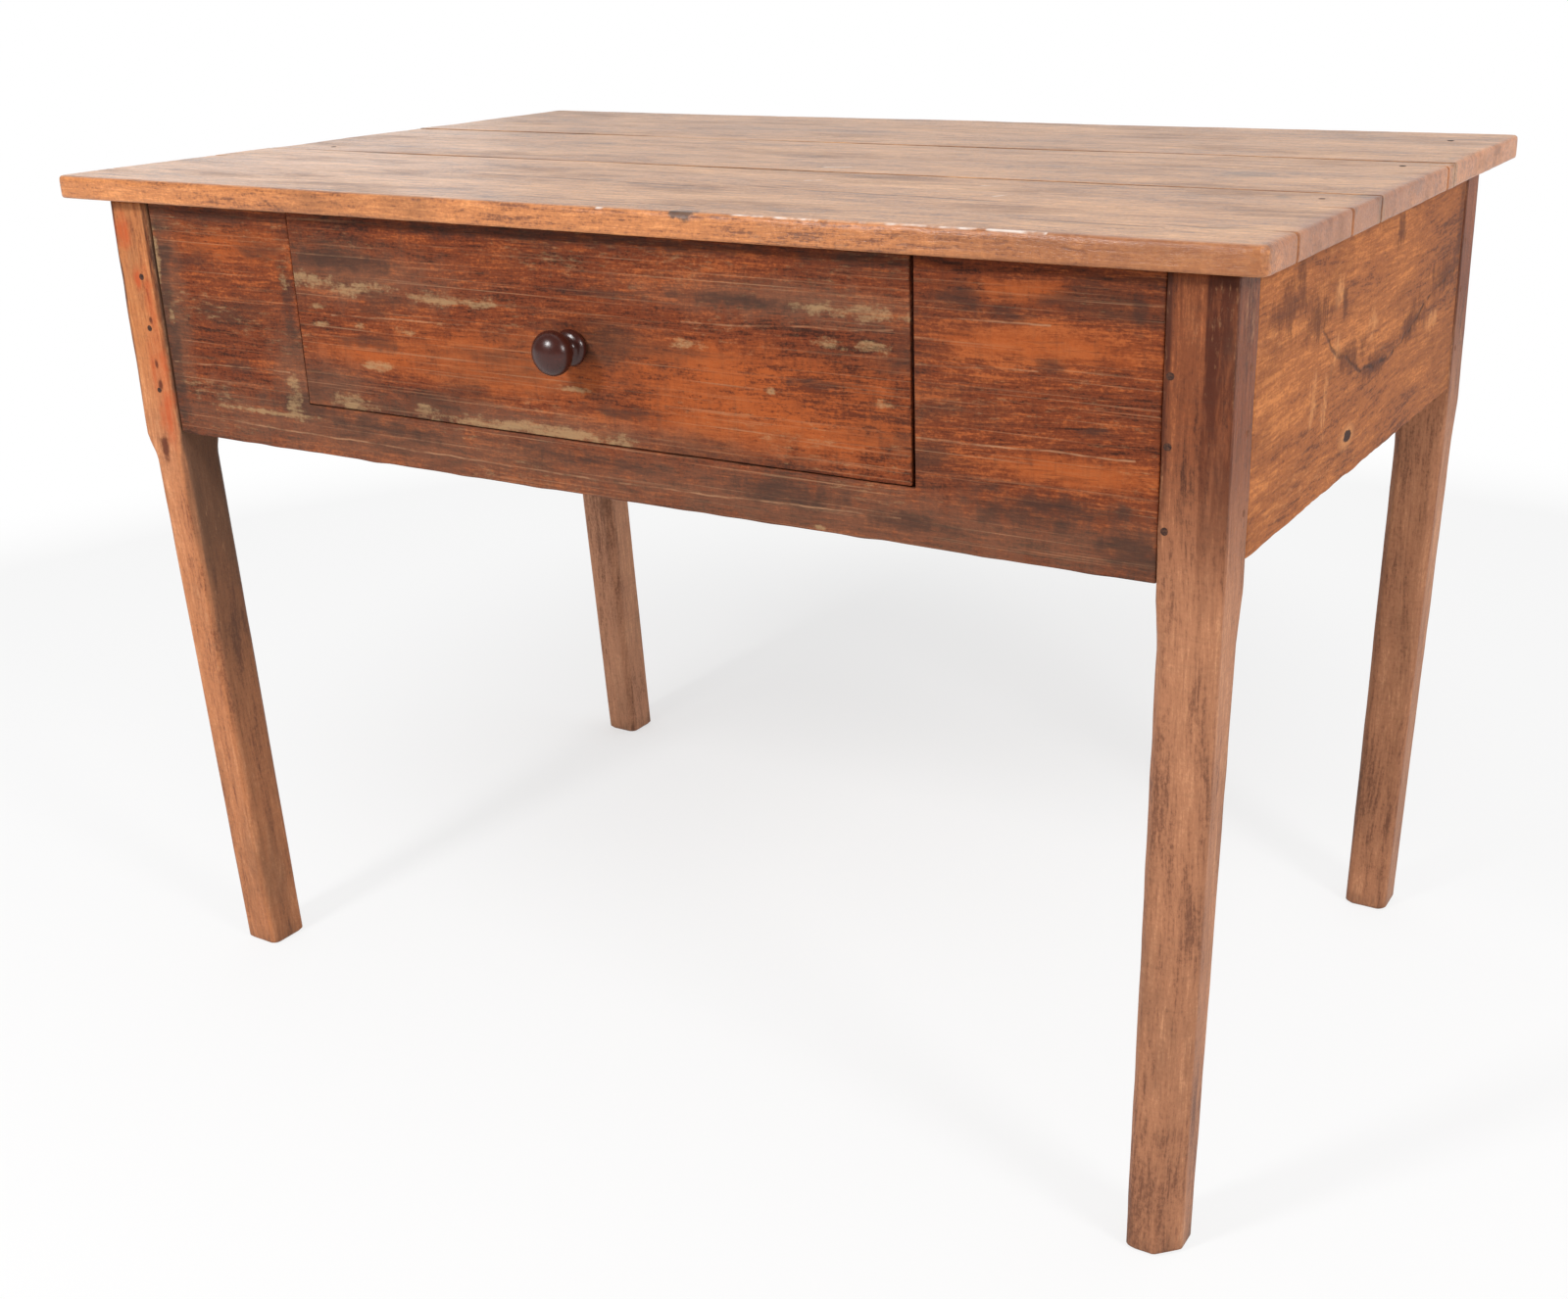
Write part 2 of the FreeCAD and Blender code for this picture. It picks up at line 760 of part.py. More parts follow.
# The knob is turned about its own axis; its tenon passes the drawer front and is wedged inside
def knob_point(out, radius):
    """A point of the knob's profile: how far it stands out of the drawer front, and its radius."""
    return FreeCAD.Vector(knob_x + radius, apron_face - out, knob_z)


def wedge(grow=0.0):
    """The wedge in the tenon's end; grow gives its slot."""
    half_end = wedge_thickness / 2 + grow
    half_tip = wedge_tip_thickness / 2 + grow
    half_width = knob_tenon_diameter / 2
    end_y = front_shoulder
    tip_y = front_shoulder - wedge_length - grow
    reach = overrun if grow else 0
    points = [
        FreeCAD.Vector(knob_x - half_width - reach, end_y, knob_z - half_end),
        FreeCAD.Vector(knob_x - half_width - reach, tip_y, knob_z - half_tip),
        FreeCAD.Vector(knob_x - half_width - reach, tip_y, knob_z + half_tip),
        FreeCAD.Vector(knob_x - half_width - reach, end_y, knob_z + half_end),
    ]
    blade = prism(points, FreeCAD.Vector(half_width + half_width + reach + reach, 0, 0))
    if grow:
        return blade
    start = FreeCAD.Vector(knob_x, tip_y, knob_z)
    return blade.common(rod(start, Y_AXIS, half_width, wedge_length))


head_radius = knob_head_diameter / 2
bead_radius = knob_bead_diameter / 2
neck_radius = knob_neck_diameter / 2
tenon_radius = knob_tenon_diameter / 2
bead_end = knob_reach * bead_end_share
axis_inside = knob_point(-apron_thickness, 0)
tenon_end = knob_point(-apron_thickness, tenon_radius)
tenon_root = knob_point(0, tenon_radius)
bead_foot = knob_point(0, bead_radius * bead_foot_share)
bead_crest = knob_point(bead_end / 2, bead_radius)
bead_top = knob_point(bead_end, bead_radius * bead_foot_share)
neck = knob_point(knob_reach * neck_place_share, neck_radius)
head_back = knob_point(knob_reach * head_back_share, head_radius * head_back_radius_share)
head_rim = knob_point(knob_reach * head_rim_share, head_radius)
dome_radius = head_radius * dome_start_radius_share
dome_rise = knob_reach - knob_reach * dome_start_share
dome_sphere = (dome_radius ** 2 + dome_rise ** 2) / (dome_rise + dome_rise)
half_sweep = math.asin(dome_radius / dome_sphere) / 2
dome_start = knob_point(knob_reach - dome_rise, dome_radius)
dome_middle = knob_point(
    knob_reach - dome_sphere + dome_sphere * math.cos(half_sweep), dome_sphere * math.sin(half_sweep)
)
dome_tip = knob_point(knob_reach, 0)


def turned(start, middle, end, cuts):
    """The points of a round stretch of the profile, as the turning tool's cuts leave it."""
    return Part.Arc(start, middle, end).discretize(cuts + 1)[:-1]


profile = (
    [axis_inside, tenon_end, tenon_root]
    + turned(bead_foot, bead_crest, bead_top, bead_cuts)
    + turned(bead_top, neck, head_back, neck_cuts)
    + [head_back, head_rim]
    + turned(dome_start, dome_middle, dome_tip, dome_cuts)
    + [dome_tip]
)
full_turn = 360
knob = Part.Face(outline(profile)).revolve(axis_inside, Y_AXIS, full_turn)
save("drawer_knob", knob.cut(wedge(wedge_clearance)))
save("knob_wedge", wedge())
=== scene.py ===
import itertools
import math

import bmesh
import bpy
import numpy as np
from mathutils import Matrix, Vector
from mathutils.geometry import convex_hull_2d


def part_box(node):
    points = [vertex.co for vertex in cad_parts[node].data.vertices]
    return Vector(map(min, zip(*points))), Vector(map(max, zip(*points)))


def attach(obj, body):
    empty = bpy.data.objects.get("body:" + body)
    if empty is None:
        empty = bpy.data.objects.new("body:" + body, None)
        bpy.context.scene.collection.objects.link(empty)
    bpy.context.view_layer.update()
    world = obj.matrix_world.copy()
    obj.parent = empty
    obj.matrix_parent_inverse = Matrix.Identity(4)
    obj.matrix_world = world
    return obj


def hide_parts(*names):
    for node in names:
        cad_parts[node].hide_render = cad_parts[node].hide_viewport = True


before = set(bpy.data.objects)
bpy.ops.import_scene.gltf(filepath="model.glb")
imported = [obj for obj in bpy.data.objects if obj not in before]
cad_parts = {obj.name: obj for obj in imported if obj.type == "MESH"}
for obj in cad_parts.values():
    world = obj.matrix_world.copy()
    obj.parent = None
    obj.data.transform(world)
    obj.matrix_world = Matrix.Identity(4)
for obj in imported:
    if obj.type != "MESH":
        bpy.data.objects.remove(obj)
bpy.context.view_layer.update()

# Legs
# Each leg is one squared length of reddish softwood, left square where the aprons are tenoned in,
# then hollowed at the neck and planed down to eight sides. The foot is dark from wet floors.
LEG_SLICE = 0.006
LEG_POINTS_ROUND = 128
LEG_FOOT_SLICES = (0.0, 0.0012, 0.0026, 0.005)
LEG_SLICES_FROM = 0.009
LEG_END_SHARE = 0.0002
LEG_PLANED_WAVE = 0.0125
LEG_PLANED_STRETCH = (1, 1, 0.25)
LEG_PLANED_DEPTH = 0.0003
LEG_CHIP_WAVE = 0.025
LEG_ARRIS_WEAR = 0.0009
LEG_ARRIS_REACH = 0.00066
# Colours of a leg, light, middle and dark: its shaft and its head stained like the aprons; then a lighter,
# more orange shaft and head for the front left leg and a paler shaft for the back left leg, both painted
# light
LEG_SHAFT = ((204, 146, 108), (173, 118, 86), (120, 78, 58))
LEG_HEAD = ((166, 98, 60), (126, 70, 44), (72, 40, 29))
FRONT_LEFT_PAINTED_LIGHT_SHAFT = ((218, 150, 106), (190, 123, 82), (126, 74, 52))
FRONT_LEFT_PAINTED_LIGHT_HEAD = ((214, 146, 94), (188, 118, 71), (128, 68, 42))
BACK_LEFT_PAINTED_LIGHT_SHAFT = ((222, 166, 128), (194, 139, 107), (138, 95, 73))
LEG_RED = (80, 40, 27)
LEG_KNOT = (84, 36, 24)
LEG_RUBBED = (186, 80, 40)
LEG_WORN = (214, 158, 114)
# Grime of the foot and of long use, and also the colour of the painted shade on the legs' inner faces
LEG_GRIME_AND_SHADE = (84, 64, 52)
LEG_GLOSS = 0.12
# Heights between which the head's stain, the red of the bevels and the painted shade of the inner faces come
# in
LEG_HEAD_STAIN = (0.50, 0.66)
LEG_BEVEL_RED = (0.5, 0.7)
LEG_INNER_SHADE = (0.1, 0.52)
LEG_WET = 0.05
LEG_MARK_DEPTH = 0.01
GRAIN_DEPTH = 0.0006
# Knots and stains on the front left leg's face, as x, z, half width and half height
LEG_KNOTS = (
    (-0.4775, 0.644, 0.003, 0.004), (-0.4785, 0.603, 0.003, 0.006), (-0.4775, 0.584, 0.004, 0.008),
    (-0.4845, 0.525, 0.0075, 0.018),
)
# Places where that face is rubbed red, given the same way
LEG_RUBS = (
    (-0.474, 0.655, 0.008, 0.035), (-0.476, 0.605, 0.012, 0.045), (-0.474, 0.56, 0.012, 0.04),
    (-0.483, 0.6, 0.006, 0.034), (-0.497, 0.722, 0.012, 0.016), (-0.486, 0.68, 0.006, 0.012),
)
UP_THE_GRAIN = (0.0, math.pi / 2, 0.0)
leg_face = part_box("leg_front_left")[0].y


def srgb(red, green, blue):
    """A colour as it looks on screen, from 0 to 255, made linear for a shader."""
    linear = []
    for value in (red, green, blue):
        share = value / 255
        linear.append(share / 12.92 if share <= 0.04045 else ((share + 0.055) / 1.055) ** 2.4)
    return (*linear, 1.0)


def uneven(points, wave, seed):
    """Smooth random values between -1 and 1 at the points, with a hill about every wave metres."""
    cells = 24
    lattice = np.random.default_rng(seed).uniform(-1, 1, (cells, cells, cells))
    place = points / wave
    base = np.floor(place).astype(int)
    share = place - base
    share = share * share * (3 - 2 * share)
    total = np.zeros(len(points))
    for corner in itertools.product((0, 1), repeat=3):
        weight = np.prod(np.where(corner, share, 1 - share), axis=1)
        i, j, k = ((base + corner) % cells).T
        total += weight * lattice[i, j, k]
    return total


def add_object(name, data):
    """A new object in the scene, at the origin."""
    made = bpy.data.objects.new(name, data)
    bpy.context.scene.collection.objects.link(made)
    return made


def add_piece(name, points, faces, material, **attributes):
    """A smooth-shaded mesh object at the origin, with a value per point for each named attribute."""
    mesh = bpy.data.meshes.new(name)
    mesh.from_pydata([tuple(p) for p in points], [], [tuple(f) for f in faces])
    for label, values in attributes.items():
        layer = mesh.attributes.new(label, "FLOAT", "POINT")
        layer.data.foreach_set("value", np.asarray(values, np.float32))
    mesh.shade_smooth()
    mesh.materials.append(material)
    return add_object(name, mesh)


def stand_for(node, piece, body):
    """Let a piece take a node's place: it rides on the body, and the node is hidden."""
    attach(piece, body)
    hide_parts(node)


def join(tree, value, socket):
    """Link a socket, or set a plain value, on a node's input."""
    if isinstance(value, bpy.types.NodeSocket):
        tree.links.new(value, socket)
    elif value is not None:
        socket.default_value = value


def put(tree, kind, *values, **settings):
    """A node with its settings made and its inputs filled in order; None leaves one as it is."""
    made = tree.nodes.new(kind)
    for key, value in settings.items():
        setattr(made, key, value)
    for socket, value in zip(made.inputs, values):
        join(tree, value, socket)
    return made


def number(tree, operation, *values):
    return put(tree, "ShaderNodeMath", *values, operation=operation).outputs[0]


def times(tree, first, second):
    return number(tree, "MULTIPLY", first, second)


def centred(tree, value):
    """Noise, which lies about a half, moved to lie about zero."""
    return number(tree, "SUBTRACT", value, 0.5)


def vector(tree, operation, *values):
    return put(tree, "ShaderNodeVectorMath", *values, operation=operation).outputs[0]


def length_of(tree, value):
    return put(tree, "ShaderNodeVectorMath", value, operation="LENGTH").outputs["Value"]


def noise(tree, place, detail=2.0, rough=0.5):
    """Noise of about one hill for each unit of the place."""
    return put(tree, "ShaderNodeTexNoise", place, None, 1.0, detail, rough).outputs[0]


def stretched(tree, place, along, across):
    """The place scaled to so many hills per metre along the grain and across it."""
    return vector(tree, "MULTIPLY", place, (along, across, across))


def ramp(tree, value, start, end, low=0.0, high=1.0):
    """A smooth step of the value from start to end."""
    made = put(tree, "ShaderNodeMapRange", value, start, end, low, high, interpolation_type="SMOOTHSTEP")
    return made.outputs[0]


def blend(tree, share, first, second):
    """A mix of two colours."""
    made = put(tree, "ShaderNodeMix", share, data_type="RGBA")
    join(tree, first, made.inputs[6])
    join(tree, second, made.inputs[7])
    return made.outputs[2]


SOCKET_KINDS = {1: "NodeSocketFloat", 3: "NodeSocketVector", 4: "NodeSocketColor"}


def new_group(name, outs, **ins):
    """An empty shader group with named outputs, and inputs whose values also tell their kinds."""
    tree = bpy.data.node_groups.new(name, "ShaderNodeTree")
    for label, value in ins.items():
        kind = SOCKET_KINDS[np.size(value)]
        socket = tree.interface.new_socket(label.replace("_", " "), in_out="INPUT", socket_type=kind)
        socket.default_value = value
    for label in outs:
        kind = "NodeSocketColor" if label == "Color" else "NodeSocketFloat"
        tree.interface.new_socket(label, in_out="OUTPUT", socket_type=kind)
    return tree, tree.nodes.new("NodeGroupInput").outputs, tree.nodes.new("NodeGroupOutput").inputs


def use(tree, group, **values):
    """Place a group in a tree; an input's name is written with _ for its spaces."""
    made = tree.nodes.new("ShaderNodeGroup")
    made.node_tree = group
    for key, value in values.items():
        join(tree, value, made.inputs[key.replace("_", " ")])
    return made.outputs


def make_wood_grain():
    """Sawn timber along X: a slow mottle, broken streaks, fine fibres, grit and short dark pores."""
    tree, taken, given = new_group(
        "wood_grain", ("Color", "Tone", "Height"), Vector=(0, 0, 0), Light=(1, 1, 1, 1),
        Middle=(0.5, 0.5, 0.5, 1), Dark=(0, 0, 0, 1), Figure=1.0, Streaks=1.0, Pores=0.5,
    )
    slow = put(tree, "ShaderNodeTexNoise", stretched(tree, taken["Vector"], 2.2, 7.0), None, 1.0, 2.0)
    drift = vector(tree, "SUBTRACT", slow.outputs[1], (0.5, 0.5, 0.5))
    drift = vector(tree, "MULTIPLY", drift, (0.0, 0.04, 0.04))
    bent = vector(tree, "ADD", taken["Vector"], drift)
    mottle = noise(tree, stretched(tree, bent, 5.0, 20.0), 5.0, 0.66)
    bands = noise(tree, stretched(tree, bent, 9.0, 110.0), 5.0, 0.7)
    fibres = noise(tree, stretched(tree, bent, 34.0, 400.0), 4.0, 0.75)
    grit = noise(tree, stretched(tree, taken["Vector"], 300.0, 420.0), 3.0, 0.75)
    dashes = noise(tree, stretched(tree, bent, 18.0, 420.0), 3.0, 0.6)
    tone = number(tree, "MULTIPLY_ADD", centred(tree, mottle), taken["Figure"], 0.5)
    bands = times(tree, centred(tree, bands), 0.8)
    tone = number(tree, "MULTIPLY_ADD", bands, taken["Figure"], tone)
    tone = number(tree, "MULTIPLY_ADD", centred(tree, fibres), taken["Streaks"], tone)
    grain = times(tree, centred(tree, grit), 0.7)
    tone = number(tree, "MULTIPLY_ADD", grain, taken["Streaks"], tone)
    color = blend(tree, ramp(tree, tone, 0.2, 0.5), taken["Dark"], taken["Middle"])
    color = blend(tree, ramp(tree, tone, 0.5, 0.8), color, taken["Light"])
    pores = times(tree, ramp(tree, dashes, 0.57, 0.66), taken["Pores"])
    color = blend(tree, pores, color, taken["Dark"])
    relief = number(tree, "ADD", fibres, times(tree, grit, 0.5))
    height = number(tree, "MULTIPLY_ADD", pores, -0.6, relief)
    join(tree, color, given["Color"])
    join(tree, tone, given["Tone"])
    join(tree, height, given["Height"])
    return tree


def make_long_use():
    """What long use leaves on a finish: smoky grime, pale flecks and fine marks across the grain."""
    tree, taken, given = new_group(
        "long_use", ("Color", "Smoke"), Vector=(0, 0, 0), Color=(0.5, 0.5, 0.5, 1),
        Grime=(0.05, 0.04, 0.03, 1), Grime_Share=0.6, Fleck=(0.5, 0.4, 0.3, 1), Fleck_Share=0.6,
        Chatter=0.3,
    )
    cloud = noise(tree, stretched(tree, taken["Vector"], 5.5, 19.0), 6.0, 0.68)
    smoke = times(tree, ramp(tree, cloud, 0.47, 0.72), taken["Grime Share"])
    color = blend(tree, smoke, taken["Color"], taken["Grime"])
    chatter = noise(tree, stretched(tree, taken["Vector"], 300.0, 30.0), 4.0, 0.7)
    across = times(tree, ramp(tree, chatter, 0.47, 0.7), taken["Chatter"])
    color = blend(tree, across, color, taken["Grime"])
    chips = noise(tree, stretched(tree, taken["Vector"], 80.0, 320.0), 4.0, 0.75)
    shifted = vector(tree, "ADD", taken["Vector"], (5.0, 3.0, 1.0))
    where = noise(tree, stretched(tree, shifted, 6.0, 24.0), 2.0)
    chips = number(tree, "MULTIPLY_ADD", where, 0.4, times(tree, chips, 0.7))
    flecks = times(tree, ramp(tree, chips, 0.62, 0.8), taken["Fleck Share"])
    color = blend(tree, flecks, color, taken["Fleck"])
    join(tree, color, given["Color"])
    join(tree, smoke, given["Smoke"])
    return tree


def make_worn_finish():
    """Where a finish has rubbed off: ragged patches with fibres along X, more of them where biased."""
    tree, taken, given = new_group(
        "worn_finish", ("Mask",), Vector=(0, 0, 0), Bias=0.0, Spread=0.5, Soft=0.08,
    )
    patches = noise(tree, stretched(tree, taken["Vector"], 14.0, 60.0), 3.0, 0.6)
    fibres = noise(tree, stretched(tree, taken["Vector"], 40.0, 280.0), 5.0, 0.75)
    grit = noise(tree, stretched(tree, taken["Vector"], 300.0, 420.0), 3.0, 0.75)
    value = number(tree, "MULTIPLY_ADD", patches, 0.3, taken["Bias"])
    value = number(tree, "MULTIPLY_ADD", fibres, 0.5, value)
    value = number(tree, "MULTIPLY_ADD", grit, 0.24, value)
    start = number(tree, "SUBTRACT", 1.05, times(tree, taken["Spread"], 0.5))
    end = number(tree, "ADD", start, taken["Soft"])
    join(tree, ramp(tree, value, start, end), given["Mask"])
    return tree


def make_spot_mark():
    """A soft spot at a place in the table's own frame, with a ragged rim."""
    tree, taken, given = new_group(
        "spot_mark", ("Mask",), Vector=(0, 0, 0), Centre=(0, 0, 0), Reach=(0.01, 0.01, 0.01), Ragged=0.5,
    )
    away = vector(tree, "DIVIDE", vector(tree, "SUBTRACT", taken["Vector"], taken["Centre"]), taken["Reach"])
    rim = noise(tree, stretched(tree, taken["Vector"], 70.0, 70.0), 4.0, 0.65)
    rim = times(tree, centred(tree, rim), taken["Ragged"])
    far = number(tree, "MULTIPLY_ADD", rim, 2.0, length_of(tree, away))
    join(tree, ramp(tree, far, 0.1, 1.3, 1.0, 0.0), given["Mask"])
    return tree


wood_grain = make_wood_grain()
long_use = make_long_use()
worn_finish = make_worn_finish()
spot_mark = make_spot_mark()


def new_finish(name, turn, shift):
    """A material, its tree, the table's own coordinates, and those turned so that X is the grain."""
    material = bpy.data.materials.new(name)
    material.use_nodes = True
    tree = material.node_tree
    place = tree.nodes.new("ShaderNodeTexCoord").outputs["Object"]
    grain = put(tree, "ShaderNodeMapping", place, shift, turn).outputs[0]
    return material, tree, place, grain


def feed_shader(tree, color, rough, height, depth, gloss):
    """Feed the material's own shader, with a bump of the given depth and a plain level of gloss."""
    shader = tree.nodes["Principled BSDF"]
    join(tree, color, shader.inputs["Base Color"])
    join(tree, rough, shader.inputs["Roughness"])
    shader.inputs["Specular IOR Level"].default_value = gloss
    bump = put(tree, "ShaderNodeBump", 1.0, depth)
    join(tree, height, bump.inputs["Height"])
    join(tree, bump.outputs[0], shader.inputs["Normal"])


def attribute(tree, name):
    return put(tree, "ShaderNodeAttribute", attribute_name=name).outputs["Fac"]


def largest(tree, masks):
    """The strongest of several masks at each point."""
    total = masks[0]
    for mask in masks[1:]:
        total = number(tree, "MAXIMUM", total, mask)
    return total


def spots(tree, place, marks, ragged):
    """One mask for several ragged spots, each given as its centre and its reach along X, Y and Z."""
    masks = []
    for centre, reach in marks:
        mark = use(tree, spot_mark, Vector=place, Centre=centre, Reach=reach, Ragged=ragged)
        masks.append(mark["Mask"])
    return largest(tree, masks)


def paint(tree, color, mask, tint, share=1.0):
    """A colour with a tint laid over it where the mask is, and no more of it than the share."""
    return blend(tree, times(tree, mask, share), color, srgb(*tint))


def rub(tree, color, grain, tint, share, **wear):
    """A colour with a tint in ragged patches along the grain; the wear is the group's own inputs."""
    return paint(tree, color, use(tree, worn_finish, Vector=grain, **wear)["Mask"], tint, share)


def sawn(tree, grain, colours, others=None, share=0.0, **figure):
    """Timber along the grain, in a light, a middle and a dark colour that a share turns to the others."""
    pairs = zip(("Light", "Middle", "Dark"), colours, others or colours)
    mixed = {name: blend(tree, share, srgb(*one), srgb(*other)) for name, one, other in pairs}
    return use(tree, wood_grain, Vector=grain, **mixed, **figure)


def leg_wood(name, shaft_colours, head_colours, inner_shade):
    """A leg's wood, paler down the shaft, with reddened bevels, worn arrises, grime at the foot, and painted
    shade on the faces turned in under the table, darker higher up.
    """
    material, tree, place, grain = new_finish(name, UP_THE_GRAIN, (0.0, 0.31, 0.0))
    height = put(tree, "ShaderNodeSeparateXYZ", place).outputs["Z"]
    head = ramp(tree, height, *LEG_HEAD_STAIN)
    timber = sawn(tree, grain, shaft_colours, head_colours, head, Figure=0.9, Streaks=0.75, Pores=0.22)
    run = noise(tree, stretched(tree, vector(tree, "ADD", grain, (2.0, 4.0, 1.0)), 9.0, 60.0), 4.0, 0.7)
    red = times(tree, attribute(tree, "bevel"), ramp(tree, height, *LEG_BEVEL_RED, 0.1, 1.0))
    red = times(tree, red, ramp(tree, run, 0.35, 0.55))
    color = paint(tree, timber["Color"], red, LEG_RED)
    # Painted shade: the faces turned in under the table are darkened, more so higher up towards the aprons
    inner = times(tree, attribute(tree, "inner"), ramp(tree, height, *LEG_INNER_SHADE, 0.4, 1.0))
    color = paint(tree, color, inner, LEG_GRIME_AND_SHADE, inner_shade)
    used = use(
        tree, long_use, Vector=grain, Color=color, Grime=srgb(*LEG_GRIME_AND_SHADE), Grime_Share=0.38,
        Fleck=srgb(*LEG_WORN), Fleck_Share=0.45, Chatter=0.12,
    )
    foot = ramp(tree, height, LEG_WET, 0.0, 0.0, 0.4)
    color = rub(tree, used["Color"], grain, LEG_GRIME_AND_SHADE, 0.5, Bias=foot, Spread=0.5, Soft=0.25)
    arris = times(tree, attribute(tree, "worn"), 0.3)
    color = rub(tree, color, grain, LEG_WORN, 0.5, Bias=arris, Soft=0.2)
    rubs, knots = (
        spots(tree, place, [((x, leg_face, z), (w, LEG_MARK_DEPTH, h)) for x, z, w, h in marks], 0.8)
        for marks in (LEG_RUBS, LEG_KNOTS)
    )
    rubbed = times(tree, rubs, ramp(tree, run, 0.35, 0.6, 0.35, 0.85))
    color = paint(tree, color, rubbed, LEG_RUBBED)
    color = paint(tree, color, ramp(tree, knots, 0.1, 0.9, 0.0, 0.85), LEG_KNOT)
    rough = number(tree, "MULTIPLY_ADD", used["Smoke"], 0.15, 0.46)
    feed_shader(tree, color, rough, timber["Height"], GRAIN_DEPTH, LEG_GLOSS)
    return material


def hull(points):
    """The convex outline of flat points."""
    flat = np.unique(np.round(points, 6), axis=0)
    return flat[convex_hull_2d(flat.tolist())]


def level_outline(edges, z):
    """The convex outline of a node's mesh where a level plane cuts its edges."""
    below, above = edges[:, 0], edges[:, 1]
    cut = (below[:, 2] - z) * (above[:, 2] - z) < 0
    share = ((z - below[cut, 2]) / (above[cut, 2] - below[cut, 2]))[:, None]
    return hull((below[cut] + (above[cut] - below[cut]) * share)[:, :2])


def ring_on(outline, middle, count):
    """Points of an outline in evenly turned directions from a middle point, and their distances."""
    angles = np.arange(count) * 2 * math.pi / count
    ways = np.stack((np.cos(angles), np.sin(angles)), axis=1)
    starts = outline - middle
    runs = np.roll(starts, -1, axis=0) - starts
    reach = np.zeros(count)
    for i, way in enumerate(ways):
        cross = way[0] * runs[:, 1] - way[1] * runs[:, 0]
        safe = np.where(np.abs(cross) < 1e-12, 1.0, cross)
        out = (starts[:, 0] * runs[:, 1] - starts[:, 1] * runs[:, 0]) / safe
        along = (starts[:, 0] * way[1] - starts[:, 1] * way[0]) / safe
        hits = (np.abs(cross) >= 1e-12) & (along >= -1e-6) & (along <= 1 + 1e-6) & (out > 0)
        reach[i] = out[hits].min()
    return ways, reach


def add_leg(node, material, seed):
    """A leg that follows its solid's outline from foot to head, with planed faces and worn arrises."""
    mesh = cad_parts[node].data
    corners = np.array([v.co for v in mesh.vertices])
    edges = corners[np.array([e.vertices for e in mesh.edges])]
    low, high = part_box(node)
    tall = high.z - low.z
    levels = np.concatenate((LEG_FOOT_SLICES, np.linspace(LEG_SLICES_FROM, tall, round(tall / LEG_SLICE))))
    inward = np.sign(-np.array(((low.x + high.x) / 2, (low.y + high.y) / 2)))
    points, worn, inner, bevel = [], [], [], []
    for level in levels:
        inside = min(max(level, tall * LEG_END_SHARE), tall * (1 - LEG_END_SHARE))
        outline = level_outline(edges, inside)
        middle = (outline.min(0) + outline.max(0)) / 2
        ways, reach = ring_on(outline, middle, LEG_POINTS_ROUND)
        eased = sum(np.roll(reach, shift) for shift in (-2, -1, 0, 1, 2)) / 5
        arris = np.clip((reach - eased) / LEG_ARRIS_REACH, 0, 1)
        ring = np.column_stack((middle + ways * reach[:, None], np.full(LEG_POINTS_ROUND, level)))
        planed = (uneven(ring * LEG_PLANED_STRETCH, LEG_PLANED_WAVE, seed) + 1) * LEG_PLANED_DEPTH / 2
        chipped = arris * (uneven(ring, LEG_CHIP_WAVE, seed + 1) * 0.5 + 0.6) * LEG_ARRIS_WEAR
        ring[:, :2] -= ways * (planed + np.maximum(chipped, 0))[:, None]
        facing = np.roll(ring, -1, axis=0) - np.roll(ring, 1, axis=0)
        facing = facing[:, (1, 0)] * (1, -1) / np.linalg.norm(facing[:, :2], axis=1)[:, None]
        towards = facing * inward
        points.append(ring)
        worn.append(arris)
        inner.append(np.clip(0.5 + 3 * (towards.max(1) + towards.min(1)), 0, 1))
        bevel.append(np.clip((np.abs(facing).min(1) - 0.05) / 0.05, 0, 1))
    count = LEG_POINTS_ROUND
    faces = []
    for row in range(len(levels) - 1):
        for i in range(count):
            j = (i + 1) % count
            faces.append((row * count + i, row * count + j, (row + 1) * count + j, (row + 1) * count + i))
    faces.append(range(count - 1, -1, -1))
    faces.append(range((len(levels) - 1) * count, len(levels) * count))
    values = {"worn": np.concatenate(worn), "inner": np.concatenate(inner), "bevel": np.concatenate(bevel)}
    piece = add_piece(node + "_planed", np.concatenate(points), faces, material, **values)
    stand_for(node, piece, "frame")


# The last number is how much painted shade the inner faces take
leg_material = leg_wood("leg_wood", LEG_SHAFT, LEG_HEAD, 0.1)
# The front left and back left legs take lighter copies of the leg wood as painted light
add_leg("leg_front_left", leg_wood("front_left_painted_light_leg_wood", FRONT_LEFT_PAINTED_LIGHT_SHAFT, FRONT_LEFT_PAINTED_LIGHT_HEAD, 0.8), 0)
add_leg("leg_front_right", leg_material, 10)
add_leg("leg_back_left", leg_wood("back_left_painted_light_leg_wood", BACK_LEFT_PAINTED_LIGHT_SHAFT, LEG_HEAD, 0.1), 20)
add_leg("leg_back_right", leg_material, 30)

# Front apron
# One wide board of the same softwood, stained dark red, with the drawer's opening sawn out of it,
# so that a rail is left below. It is tenoned and pegged between the front legs.
BOARD_STEP = 0.005
BOARD_EDGE = 0.003
BOARD_WAVE = 0.07
BOARD_HOLLOW = 0.0004
APRON_ARRIS = 0.0016
APRON_SHRUNK = 0.002
APRON_FRAY = 0.0008
APRON_FRAY_REACH = 0.006
APRON_FRAY_STRETCH = (1, 0.2, 0.2)
ARRIS_WAVE = 0.03
FRAY_WAVE = 0.02
WEAR_REACH = 0.004
FLAT_WITHIN = 0.0001
